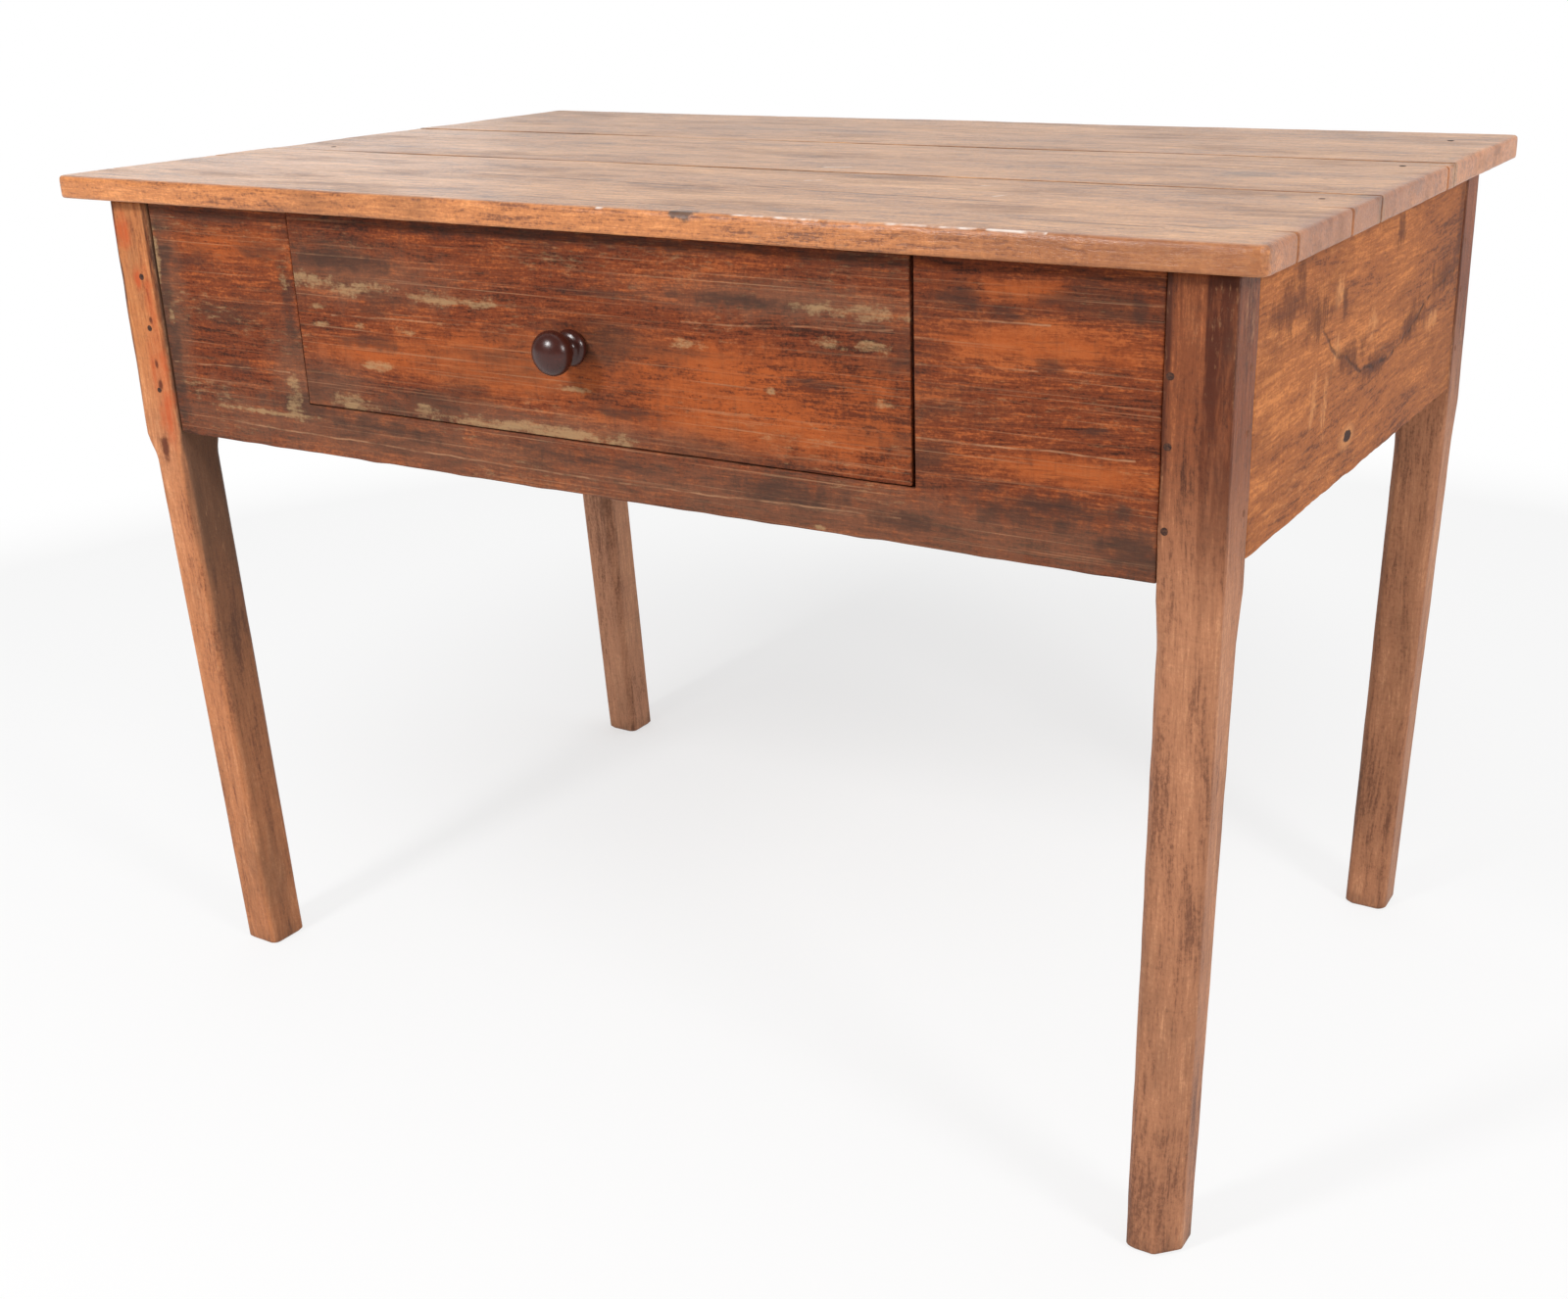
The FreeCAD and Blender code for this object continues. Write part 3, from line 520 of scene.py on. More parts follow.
# Colours of the stained wood, light, middle and dark, and the same where it has stayed warm
STAIN_WOOD = ((166, 88, 46), (116, 56, 32), (62, 32, 22))
STAIN_WARM = ((166, 88, 46), (178, 90, 42), (116, 56, 32))
STAIN_DULL = (116, 86, 68)
STAIN_BARE = (176, 144, 104)
STAIN_SCRATCH = (178, 132, 98)
STAIN_GRIME = (72, 50, 40)
STAIN_BLACK = (52, 42, 38)
STAIN_GLOSS = 0.08
MARK_SPREAD = 1.35
MARK_DEPTH = 0.02
SCRATCH_WIDTH = 0.0011
SCRATCH_WANDER = 0.004
ALONG_THE_TABLE = (0.0, 0.0, 0.0)
apron_low, apron_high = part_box("front_apron")
panel_low, panel_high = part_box("drawer_front")
DRAWER_LEFT_GAP = 0.0006
DRAWER_RIGHT_GAP = 0.0022
DRAWER_FOOT_GAP = 0.001
opening_left = panel_low.x - DRAWER_LEFT_GAP
opening_right = panel_high.x + DRAWER_RIGHT_GAP
opening_bottom = panel_low.z - DRAWER_FOOT_GAP


def grid_lines(low, high, step, edge):
    """Places of the grid along one side of a board: close at both edges, then evenly spaced."""
    count = max(1, round((high - low - 2 * edge) / step))
    inner = np.linspace(low + edge, high - edge, count + 1)
    near = np.array((0.0, 0.35, 0.7)) * edge
    return np.concatenate((low + near, inner, (high - near)[::-1]))


def lattice_skin(lines, kept=None):
    """The outer skin of the kept cells of a grid of lines, as points and four-sided faces."""
    shape = tuple(len(line) - 1 for line in lines)
    kept = np.ones(shape, bool) if kept is None else kept
    padded = np.pad(kept, 1)
    quads = []
    for axis in range(3):
        second, third = (axis + 1) % 3, (axis + 2) % 3
        for side in (0, 1):
            neighbour = np.roll(padded, 1 - 2 * side, axis)[1:-1, 1:-1, 1:-1]
            cells = np.argwhere(kept & ~neighbour)
            corners = []
            for a, b in ((0, 0), (1, 0), (1, 1), (0, 1)):
                corner = cells.copy()
                corner[:, axis] += side
                corner[:, second] += a
                corner[:, third] += b
                corners.append(np.ravel_multi_index(corner.T, tuple(n + 1 for n in shape)))
            quads.append(np.stack(corners if side else corners[::-1], axis=1))
    used, faces = np.unique(np.concatenate(quads), return_inverse=True)
    places = np.unravel_index(used, tuple(n + 1 for n in shape))
    points = np.stack([np.asarray(line)[i] for line, i in zip(lines, places)], axis=1)
    return points, faces.reshape(-1, 4)


def rounded(points, low, high, radius):
    """Points of a box's skin drawn in to round its edges by a radius given for each point."""
    radius = radius[:, None]
    core = np.clip(points, low + radius, high - radius)
    away = points - core
    far = np.linalg.norm(away, axis=1, keepdims=True)
    return core + away * np.where(far > 0, radius / np.maximum(far, 1e-9), 1.0)


def edge_wear(points, low, high, reach):
    """How near each point is to an edge of the box, from 0 to 1."""
    gaps = np.minimum(points - low, high - points)
    return np.exp(-np.sort(gaps, axis=1)[:, 1] / reach)


def worn_skin(points, low, high, arris, reach, seed):
    """A board's skin with its arrises unevenly rounded, and how near each point was to one."""
    radius = arris * (0.75 + 0.5 * uneven(points, ARRIS_WAVE, seed))
    return rounded(points, low, high, radius), edge_wear(points, low, high, reach)


def make_line_mark():
    """A thin wandering line between two places, such as a crack or a scratch."""
    tree, taken, given = new_group(
        "line_mark", ("Mask",), Vector=(0, 0, 0), Start=(0, 0, 0), End=(1, 0, 0), Width=0.001,
        Wander=0.004,
    )
    shake = put(tree, "ShaderNodeTexNoise", stretched(tree, taken["Vector"], 30.0, 30.0), None, 1.0, 3.0)
    shake = vector(tree, "SUBTRACT", shake.outputs[1], (0.5, 0.5, 0.5))
    shake = put(tree, "ShaderNodeVectorMath", shake, operation="SCALE")
    join(tree, taken["Wander"], shake.inputs["Scale"])
    place = vector(tree, "ADD", taken["Vector"], shake.outputs[0])
    away = vector(tree, "SUBTRACT", place, taken["Start"])
    run = vector(tree, "SUBTRACT", taken["End"], taken["Start"])
    dot = put(tree, "ShaderNodeVectorMath", away, run, operation="DOT_PRODUCT").outputs["Value"]
    square = put(tree, "ShaderNodeVectorMath", run, run, operation="DOT_PRODUCT").outputs["Value"]
    share = put(tree, "ShaderNodeMath", dot, square, operation="DIVIDE", use_clamp=True).outputs[0]
    foot = put(tree, "ShaderNodeVectorMath", run, operation="SCALE")
    join(tree, share, foot.inputs["Scale"])
    far = length_of(tree, vector(tree, "SUBTRACT", away, foot.outputs[0]))
    near = times(tree, taken["Width"], 0.3)
    join(tree, ramp(tree, far, near, taken["Width"], 1.0, 0.0), given["Mask"])
    return tree


line_mark = make_line_mark()


def strokes(tree, place, ends, width, wander):
    """One mask for several thin wandering lines, each given as its two ends."""
    masks = []
    for start, end in ends:
        mark = use(tree, line_mark, Vector=place, Start=start, End=end, Width=width, Wander=wander)
        masks.append(mark["Mask"])
    return largest(tree, masks)


def stained_wood(name, shift, pale, dark, warm, dull, scratches):
    """Red-stained wood with placed scuffs, dark stains, painted shade along the top edge under the tabletop,
    warm and dull patches and scratches.
    Each mark is x, z, half width and half height on the front; each scratch is its two ends."""
    material, tree, place, grain = new_finish(name, ALONG_THE_TABLE, shift)
    face = apron_low.y

    def patches(marks, ragged):
        sized = [(x, z, w * MARK_SPREAD, h * MARK_SPREAD) for x, z, w, h in marks]
        return spots(tree, place, [((x, face, z), (w, MARK_DEPTH, h)) for x, z, w, h in sized], ragged)

    glow = times(tree, patches(warm, 0.9), 0.75)
    timber = sawn(tree, grain, STAIN_WOOD, STAIN_WARM, glow, Figure=0.9, Streaks=1.1, Pores=0.35)
    washed = paint(tree, timber["Color"], patches(dull, 0.7), STAIN_DULL, 0.5)
    used = use(
        tree, long_use, Vector=grain, Color=washed, Grime=srgb(*STAIN_GRIME), Grime_Share=0.75,
        Fleck=srgb(*STAIN_BARE), Fleck_Share=0.45, Chatter=0.2,
    )
    hairs = noise(tree, stretched(tree, grain, 5.0, 640.0), 3.0, 0.6)
    hairs = ramp(tree, hairs, 0.56, 0.74, 0.0, 0.4)
    color = paint(tree, used["Color"], hairs, STAIN_SCRATCH)
    # Dark stains, some of them painted shade along the top edge under the tabletop
    dark_bias = times(tree, patches(dark, 0.9), 0.52)
    color = rub(tree, color, grain, STAIN_BLACK, 0.7, Bias=dark_bias, Spread=0.68, Soft=0.46)
    pale_bias = times(tree, patches(pale, 0.9), 0.34)
    pale_bias = number(tree, "MULTIPLY_ADD", attribute(tree, "worn"), 0.06, pale_bias)
    shifted = vector(tree, "ADD", grain, (3.0, 1.0, 2.0))
    bare = use(tree, worn_finish, Vector=shifted, Bias=pale_bias, Spread=0.64, Soft=0.2)
    color = paint(tree, color, bare["Mask"], STAIN_BARE, 0.58)
    ends = [((x0, face, z0), (x1, face, z1)) for x0, z0, x1, z1 in scratches]
    lines = strokes(tree, place, ends, SCRATCH_WIDTH, SCRATCH_WANDER)
    broken = ramp(tree, noise(tree, stretched(tree, shifted, 30.0, 30.0), 3.0, 0.7), 0.35, 0.65, 0.1, 0.6)
    color = paint(tree, color, lines, STAIN_SCRATCH, broken)
    rough = number(tree, "MULTIPLY_ADD", bare["Mask"], 0.2, 0.5)
    feed_shader(tree, color, rough, timber["Height"], GRAIN_DEPTH, STAIN_GLOSS)
    return material


def hollowed(points, wave, depth, seed):
    """How far a planed face lies under its true plane at each point, never above it."""
    return (uneven(points, wave, seed) + 1) * depth / 2


apron_material = stained_wood(
    "apron_stained_wood",
    (0.0, 0.0, 0.0),
    pale=(
        (-0.307, 0.59, 0.014, 0.03), (-0.302, 0.69, 0.006, 0.012), (-0.459, 0.70, 0.006, 0.03),
        (-0.45, 0.65, 0.005, 0.012), (-0.34, 0.572, 0.08, 0.003), (0.225, 0.545, 0.006, 0.004),
    ),
    dark=(
        (0.342, 0.724, 0.018, 0.014), (0.376, 0.713, 0.014, 0.008), (0.408, 0.68, 0.012, 0.009),
        (0.388, 0.575, 0.05, 0.012), (0.30, 0.557, 0.05, 0.01), (0.414, 0.724, 0.025, 0.006),
        (0.47, 0.722, 0.006, 0.02), (0.468, 0.557, 0.03, 0.02), (0.44, 0.639, 0.014, 0.004),
        (-0.30, 0.68, 0.009, 0.05), (-0.455, 0.68, 0.016, 0.06), (-0.452, 0.69, 0.012, 0.04),
        (-0.446, 0.705, 0.01, 0.02), (-0.455, 0.60, 0.014, 0.08), (-0.37, 0.611, 0.026, 0.008),
        # The long thin mark along the top of the left panel is painted shade under the tabletop's edge
        (-0.30, 0.585, 0.05, 0.016), (-0.38, 0.74, 0.09, 0.008), (-0.41, 0.70, 0.03, 0.008),
        (-0.33, 0.715, 0.03, 0.008), (-0.2, 0.572, 0.08, 0.008), (0.02, 0.57, 0.07, 0.008),
        (0.2, 0.566, 0.07, 0.012), (0.41, 0.585, 0.06, 0.012),
    ),
    warm=(
        (0.38, 0.728, 0.04, 0.007), (0.40, 0.693, 0.06, 0.009), (0.43, 0.61, 0.05, 0.009),
        (-0.37, 0.72, 0.05, 0.014),
    ),
    dull=(
        (-0.2, 0.56, 0.35, 0.03), (0.25, 0.556, 0.4, 0.028), (-0.45, 0.66, 0.02, 0.1),
        (-0.3, 0.6, 0.03, 0.05),
    ),
    scratches=(
        (0.305, 0.706, 0.407, 0.707), (0.307, 0.673, 0.399, 0.676), (0.307, 0.621, 0.469, 0.623),
        (-0.455, 0.607, -0.309, 0.611), (-0.387, 0.559, 0.031, 0.555), (0.031, 0.555, 0.293, 0.56),
    ),
)


def face_span(node, axis, place):
    """The lowest and highest corner of what lies on one flat face of a node's solid."""
    corners = np.array([v.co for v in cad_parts[node].data.vertices])
    on_face = corners[np.abs(corners[:, axis] - place) < FLAT_WITHIN]
    return on_face.min(0), on_face.max(0)


def grid_through(low, high, step, edge, stops):
    """Grid lines that also pass through the stops, with close lines on both sides of each."""
    ends = [low, *stops, high]
    runs = [grid_lines(a, b, step, edge) for a, b in zip(ends, ends[1:])]
    return np.unique(np.round(np.concatenate(runs), 6))


def front_apron_piece():
    """The front board between its shoulders, a little shrunk from the left leg, with the opening."""
    span_low, span_high = face_span("front_apron", 1, apron_low.y)
    span_low[0] += APRON_SHRUNK
    lines = (
        grid_through(span_low[0], span_high[0], BOARD_STEP, BOARD_EDGE, (opening_left, opening_right)),
        grid_lines(apron_low.y, apron_high.y, BOARD_STEP, BOARD_EDGE),
        grid_through(apron_low.z, apron_high.z, BOARD_STEP, BOARD_EDGE, (opening_bottom,)),
    )
    x, y, z = ((line[:-1] + line[1:]) / 2 for line in lines)
    in_opening = (x > opening_left) & (x < opening_right)
    cut_out = in_opening[:, None, None] & (z > opening_bottom)[None, None, :]
    kept = np.repeat(~cut_out, len(y), axis=1)
    points, faces = lattice_skin(lines, kept)
    low = np.tile((span_low[0], apron_low.y, apron_low.z), (len(points), 1))
    high = np.tile((span_high[0], apron_high.y, apron_high.z), (len(points), 1))
    beside = points[:, 2] > opening_bottom + BOARD_EDGE / 10
    high[beside & (points[:, 0] <= opening_left + BOARD_EDGE / 10), 0] = opening_left
    low[beside & (points[:, 0] >= opening_right - BOARD_EDGE / 10), 0] = opening_right
    over_rail = (points[:, 0] > opening_left) & (points[:, 0] < opening_right)
    high[over_rail, 2] = opening_bottom
    points, worn = worn_skin(points, low, high, APRON_ARRIS, WEAR_REACH, 41)
    front = points[:, 1] < (apron_low.y + apron_high.y) / 2
    sunk = hollowed(points, BOARD_WAVE, BOARD_HOLLOW, 42)
    points[:, 1] += np.where(front, sunk, -sunk)
    lower = np.clip(1 - (points[:, 2] - apron_low.z) / APRON_FRAY_REACH, 0, 1)
    points[:, 2] += lower * (uneven(points * APRON_FRAY_STRETCH, FRAY_WAVE, 43) + 1) * APRON_FRAY
    return add_piece("front_apron_board", points, faces, apron_material, worn=worn)


stand_for("front_apron", front_apron_piece(), "frame")

# Back and side aprons
# Three more boards between the legs. The back is stained like the front and left rougher.
# The sides are a paler orange board, sawn across, with dark figure and a frayed lower edge.
SIDE_WOOD = ((204, 130, 76), (164, 98, 56), (102, 56, 34))
SIDE_STAIN = (86, 45, 29)
SIDE_BLACK = (62, 38, 30)
SIDE_PALE = (218, 152, 98)
SIDE_GLOSS = 0.08
SIDE_ARRIS = 0.0018
SIDE_FRAY = 0.0016
SIDE_FRAY_REACH = 0.012
SIDE_FRAY_FINE_WAVE = 0.007
SIDE_GRAIN_DEPTH = 0.0007
SIDE_MARK_DEPTH = 0.03
CRACK_WIDTH = 0.0026
CRACK_WANDER = 0.014
ALONG_THE_SIDE = (0.0, 0.0, -math.pi / 2)
side_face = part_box("right_apron")[1].x
# Places on the right side board, as y and z: a thin dark crack, the smoky figure round it, pale fibres
# torn upright, and a worm hole
CRACK = ((-0.139, 0.681), (-0.105, 0.657), (-0.027, 0.63), (0.035, 0.625), (0.09, 0.629), (0.142, 0.644),
         (0.184, 0.655), (0.258, 0.662))
BLOTCHES = ((-0.215, 0.71, 0.055, 0.02), (-0.15, 0.69, 0.05, 0.018), (-0.06, 0.645, 0.05, 0.015),
            (0.01, 0.626, 0.05, 0.012), (0.12, 0.642, 0.05, 0.02), (0.215, 0.665, 0.06, 0.02),
            (-0.082, 0.693, 0.01, 0.012), (-0.192, 0.727, 0.012, 0.018), (0.064, 0.724, 0.012, 0.02),
            (0.268, 0.70, 0.012, 0.06))
TORN = ((-0.15, 0.628, 0.012, 0.034), (-0.12, 0.62, 0.01, 0.032), (-0.10, 0.655, 0.014, 0.02),
        (0.0, 0.66, 0.02, 0.016), (-0.10, 0.70, 0.016, 0.016), (0.19, 0.63, 0.03, 0.012))
WORM_HOLE = (-0.054, 0.583, 0.0105, 0.0042)
WORM_RIM = (-0.054, 0.583, 0.01575, 0.00714)


def side_wood():
    """Paler orange wood with smoky figure, upright torn fibres, a crack and a worm hole."""
    material, tree, place, grain = new_finish("side_apron_wood", ALONG_THE_SIDE, (0.4, 0.7, 0.2))

    def patches(marks, ragged):
        sized = [(y, z, w * MARK_SPREAD, h * MARK_SPREAD) for y, z, w, h in marks]
        placed = [((side_face, y, z), (SIDE_MARK_DEPTH, w, h)) for y, z, w, h in sized]
        return spots(tree, place, placed, ragged)

    timber = sawn(tree, grain, SIDE_WOOD, Figure=0.9, Streaks=1.0, Pores=0.2)
    used = use(
        tree, long_use, Vector=grain, Color=timber["Color"], Grime=srgb(*SIDE_STAIN), Grime_Share=0.4,
        Fleck=srgb(*SIDE_PALE), Fleck_Share=0.4, Chatter=0.16,
    )
    upright = put(tree, "ShaderNodeMapping", place, None, UP_THE_GRAIN).outputs[0]
    bias = times(tree, patches(TORN, 0.8), 0.34)
    color = rub(tree, used["Color"], upright, SIDE_PALE, 0.7, Bias=bias, Spread=0.62, Soft=0.2)
    bias = times(tree, patches(BLOTCHES, 0.9), 0.46)
    color = rub(tree, color, upright, SIDE_STAIN, 0.8, Bias=bias, Spread=0.7, Soft=0.36)
    ends = itertools.pairwise((side_face, y, z) for y, z in CRACK)
    cracks = strokes(tree, place, ends, CRACK_WIDTH, CRACK_WANDER)
    broken = ramp(tree, noise(tree, stretched(tree, place, 60.0, 60.0), 3.0, 0.7), 0.35, 0.6, 0.15, 0.8)
    crack = times(tree, cracks, broken)
    color = paint(tree, color, crack, SIDE_BLACK)
    color = paint(tree, color, patches((WORM_RIM,), 0.4), SIDE_PALE, 0.8)
    hole = ramp(tree, patches((WORM_HOLE,), 0.9), 0.3, 0.6)
    color = paint(tree, color, hole, SIDE_BLACK)
    rough = number(tree, "MULTIPLY_ADD", timber["Tone"], 0.15, 0.5)
    deep = times(tree, number(tree, "ADD", crack, hole), -1.0)
    height = number(tree, "ADD", deep, timber["Height"])
    feed_shader(tree, color, rough, height, SIDE_GRAIN_DEPTH, SIDE_GLOSS)
    return material


def apron_piece(node, axis, outside, material, arris, fray, seed):
    """A plain apron board between its shoulders; axis is the one that its faces look along."""
    low, high = (np.array(corner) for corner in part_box(node))
    face = high[axis] if outside > 0 else low[axis]
    span_low, span_high = face_span(node, axis, face)
    run = 1 - axis
    low[run], high[run] = span_low[run], span_high[run]
    lines = [grid_lines(a, b, BOARD_STEP, BOARD_EDGE) for a, b in zip(low, high)]
    points, faces = lattice_skin(lines)
    points, worn = worn_skin(points, low, high, arris, WEAR_REACH, seed)
    sunk = hollowed(points, BOARD_WAVE, BOARD_HOLLOW, seed + 1)
    points[:, axis] += np.where(points[:, axis] > (low[axis] + high[axis]) / 2, -sunk, sunk)
    lower = np.clip(1 - (points[:, 2] - low[2]) / SIDE_FRAY_REACH, 0, 1)
    fine = uneven(points, SIDE_FRAY_FINE_WAVE, seed + 3) * 0.6
    ragged = (uneven(points, FRAY_WAVE, seed + 2) + fine + 1.6) * fray / 2
    points[:, 2] += lower * np.maximum(ragged, 0)
    stand_for(node, add_piece(node + "_board", points, faces, material, worn=worn), "frame")


side_material = side_wood()
apron_piece("back_apron", 1, 1, apron_material, APRON_ARRIS, SIDE_FRAY / 2, 50)
apron_piece("left_apron", 0, -1, side_material, SIDE_ARRIS, SIDE_FRAY, 60)
apron_piece("right_apron", 0, 1, side_material, SIDE_ARRIS, SIDE_FRAY, 70)

# Pegs
# Riven pegs of hard wood, driven through the legs and the aprons' tenons and cut off flush.
# Their end grain has gone nearly black.
PEG_ACROSS = 0.0054
PEG_DEPTH = 0.012
PEG_UNEVEN = 0.18
PEG_SIDES = 9
PEG_GLOSS = 0.2
PEG_ROUGH = 0.55
PEG_GRAIN_DEPTH = 0.0004
MERGE_WITHIN = 0.00001
PEG_DARK = (48, 32, 27)
PEG_LIGHT = (92, 58, 43)
SIDE_PEG_DARK = (96, 58, 40)
SIDE_PEG_LIGHT = (140, 88, 60)


def merged_copy(node):
    """A copy of a node's mesh whose triangles share their corners."""
    body = bmesh.new()
    body.from_mesh(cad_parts[node].data)
    bmesh.ops.remove_doubles(body, verts=body.verts, dist=MERGE_WITHIN)
    return body


def solids_of(node):
    """The points of each separate solid in a node."""
    body = merged_copy(node)
    waiting = set(body.verts)
    solids = []
    while waiting:
        reached = [min(waiting, key=lambda v: v.index)]
        found = set(reached)
        while reached:
            for edge in reached.pop().link_edges:
                for other in edge.verts:
                    if other not in found:
                        found.add(other)
                        reached.append(other)
        waiting -= found
        solids.append(np.array([v.co for v in sorted(found, key=lambda v: v.index)]))
    body.free()
    return solids


def make_driven_heads():
    """Pegs or nails at points: a many-sided head along Z, uneven in size at random and turned as given."""
    tree = bpy.data.node_groups.new("driven_heads", "GeometryNodeTree")
    for label, kind in (
        ("Geometry", "Geometry"),
        ("Sides", "Int"),
        ("Across", "Float"),
        ("Depth", "Float"),
        ("Turn", "Vector"),
        ("Uneven", "Float"),
        ("Seed", "Int"),
        ("Material", "Material"),
    ):
        tree.interface.new_socket(label, in_out="INPUT", socket_type="NodeSocket" + kind)
    tree.interface.new_socket("Geometry", in_out="OUTPUT", socket_type="NodeSocketGeometry")
    taken = tree.nodes.new("NodeGroupInput").outputs
    given = tree.nodes.new("NodeGroupOutput").inputs
    radius = put(tree, "ShaderNodeMath", taken["Across"], 2.0, operation="DIVIDE").outputs[0]
    shank = put(tree, "GeometryNodeMeshCylinder", taken["Sides"], 2, 1, radius, taken["Depth"])
    small = put(tree, "ShaderNodeMath", 1.0, taken["Uneven"], operation="SUBTRACT").outputs[0]
    large = put(tree, "ShaderNodeMath", 1.0, taken["Uneven"], operation="ADD").outputs[0]
    size = tree.nodes.new("FunctionNodeRandomValue")
    size.data_type = "FLOAT_VECTOR"
    join(tree, put(tree, "ShaderNodeCombineXYZ", small, small, 1.0).outputs[0], size.inputs[0])
    join(tree, put(tree, "ShaderNodeCombineXYZ", large, large, 1.0).outputs[0], size.inputs[1])
    join(tree, taken["Seed"], size.inputs["Seed"])
    heads = tree.nodes.new("GeometryNodeInstanceOnPoints")
    join(tree, taken["Geometry"], heads.inputs["Points"])
    join(tree, shank.outputs["Mesh"], heads.inputs["Instance"])
    join(tree, taken["Turn"], heads.inputs["Rotation"])
    join(tree, size.outputs[0], heads.inputs["Scale"])
    real = put(tree, "GeometryNodeRealizeInstances", heads.outputs[0])
    dressed = put(tree, "GeometryNodeSetMaterial", real.outputs[0])
    join(tree, taken["Material"], dressed.inputs["Material"])
    join(tree, dressed.outputs[0], given["Geometry"])
    return tree


driven_heads = make_driven_heads()


def drive_in(name, places, **sizes):
    """Heads at the places, as one plain mesh; the sizes are the tree's own inputs."""
    mesh = bpy.data.meshes.new(name)
    mesh.from_pydata([tuple(p) for p in places], [], [])
    points = add_object(name + "_points", mesh)
    modifier = points.modifiers.new("heads", "NODES")
    modifier.node_group = driven_heads
    for socket in driven_heads.interface.items_tree:
        if socket.in_out == "INPUT" and socket.name in sizes:
            modifier[socket.identifier] = sizes[socket.name]
    ready = points.evaluated_get(bpy.context.evaluated_depsgraph_get())
    made = bpy.data.meshes.new_from_object(ready)
    points.modifiers.remove(modifier)
    bpy.data.objects.remove(points)
    return add_object(name, made)


def end_grain(name, light, dark):
    """Dark cut ends of wood, mottled."""
    material, tree, place, _ = new_finish(name, ALONG_THE_TABLE, (0.1, 0.2, 0.3))
    mottle = noise(tree, stretched(tree, place, 600.0, 600.0), 3.0, 0.6)
    color = blend(tree, ramp(tree, mottle, 0.35, 0.7), srgb(*dark), srgb(*light))
    rough = number(tree, "MULTIPLY_ADD", mottle, 0.2, PEG_ROUGH)
    feed_shader(tree, color, rough, mottle, PEG_GRAIN_DEPTH, PEG_GLOSS)
    return material


peg_material = end_grain("peg_wood", PEG_LIGHT, PEG_DARK)
side_peg_material = end_grain("side_peg_wood", SIDE_PEG_LIGHT, SIDE_PEG_DARK)
# For each side, the axis that its pegs lie along, which way is out, how they turn and their wood
FACES = {
    "front": (1, -1, (math.pi / 2, 0.0, 0.0), peg_material),
    "back": (1, 1, (math.pi / 2, 0.0, 0.0), peg_material),
    "left": (0, -1, (0.0, math.pi / 2, 0.0), side_peg_material),
    "right": (0, 1, (0.0, math.pi / 2, 0.0), side_peg_material),
}
for seed, (side, (axis, outward, turn, end_material)) in enumerate(FACES.items()):
    places = []
    for solid in solids_of(side + "_apron_pegs"):
        place = (solid.min(0) + solid.max(0)) / 2
        face = solid[:, axis].max() if outward > 0 else solid[:, axis].min()
        place[axis] = face - outward * PEG_DEPTH / 2
        places.append(place)
    pegs = drive_in(
        side + "_peg_ends", places, Sides=PEG_SIDES, Across=PEG_ACROSS, Depth=PEG_DEPTH, Turn=turn,
        Uneven=PEG_UNEVEN, Seed=seed, Material=end_material,
    )
    stand_for(side + "_apron_pegs", pegs, "frame")

# Drawer runners, guides and stops
# Plain sawn strips inside the frame: runners stub-tenoned into the front and back aprons, guides
# nailed on them, and two blocks that stop the drawer flush. The wood is bare and dusty.
BARE_WOOD = ((206, 164, 120), (172, 126, 86), (116, 79, 53))
BARE_DUST = (116, 79, 53)
BARE_ARRIS = 0.0006
BARE_GLOSS = 0.2
FLAT_ANGLE = math.radians(1)
ARRIS_ANGLE = math.radians(40)


def bare_wood(name, turn, shift):
    """Unfinished wood, grey with dust in places."""
    material, tree, _, grain = new_finish(name, turn, shift)
    timber = sawn(tree, grain, BARE_WOOD, Figure=0.9, Streaks=0.6, Pores=0.3)
    color = rub(tree, timber["Color"], grain, BARE_DUST, 0.5, Bias=0.0, Spread=0.5, Soft=0.2)
    rough = number(tree, "MULTIPLY_ADD", timber["Tone"], 0.15, 0.6)
    feed_shader(tree, color, rough, timber["Height"], GRAIN_DEPTH, BARE_GLOSS)
    return material


def dress(node, material):
    """Give a node of the frame its finish and ease its arrises a little."""
    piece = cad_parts[node]
    piece.data.materials.clear()
    piece.data.materials.append(material)
    merge = piece.modifiers.new("merge", "WELD")
    merge.merge_threshold = MERGE_WITHIN
    flat = piece.modifiers.new("flat", "DECIMATE")
    flat.decimate_type = "DISSOLVE"
    flat.angle_limit = FLAT_ANGLE
    ease = piece.modifiers.new("ease", "BEVEL")
    ease.width = BARE_ARRIS
    ease.segments = 2
    ease.limit_method = "ANGLE"
    ease.angle_limit = ARRIS_ANGLE


bare_lengthwise = bare_wood("bare_wood_lengthwise", ALONG_THE_TABLE, (0.2, 0.5, 0.1))
bare_crosswise = bare_wood("bare_wood_crosswise", ALONG_THE_SIDE, (0.6, 0.1, 0.4))
for strip, side in itertools.product(("runner", "guide", "stop"), ("left", "right")):
    dress(f"drawer_{strip}_{side}", bare_crosswise)

# Nails in the guides
# Forged iron nails, square in the shank, that were driven down through the guide strips into
# the runners. They have gone brown with rust.
NAIL_DARK = (30, 26, 25)
NAIL_RUST = (92, 58, 42)
NAIL_GLOSS = 0.5
NAIL_METAL = 0.6
NAIL_RUST_DEPTH = 0.0005


def nail_iron():
    """Dark iron with patches of rust."""
    material, tree, place, _ = new_finish("nail_iron", ALONG_THE_TABLE, (0.0, 0.0, 0.0))
    rust = noise(tree, stretched(tree, place, 420.0, 420.0), 4.0, 0.65)
    color = blend(tree, ramp(tree, rust, 0.4, 0.68), srgb(*NAIL_DARK), srgb(*NAIL_RUST))
    rough = number(tree, "MULTIPLY_ADD", rust, 0.4, 0.4)
    feed_shader(tree, color, rough, rust, NAIL_RUST_DEPTH, NAIL_GLOSS)
    tree.nodes["Principled BSDF"].inputs["Metallic"].default_value = NAIL_METAL
    return material


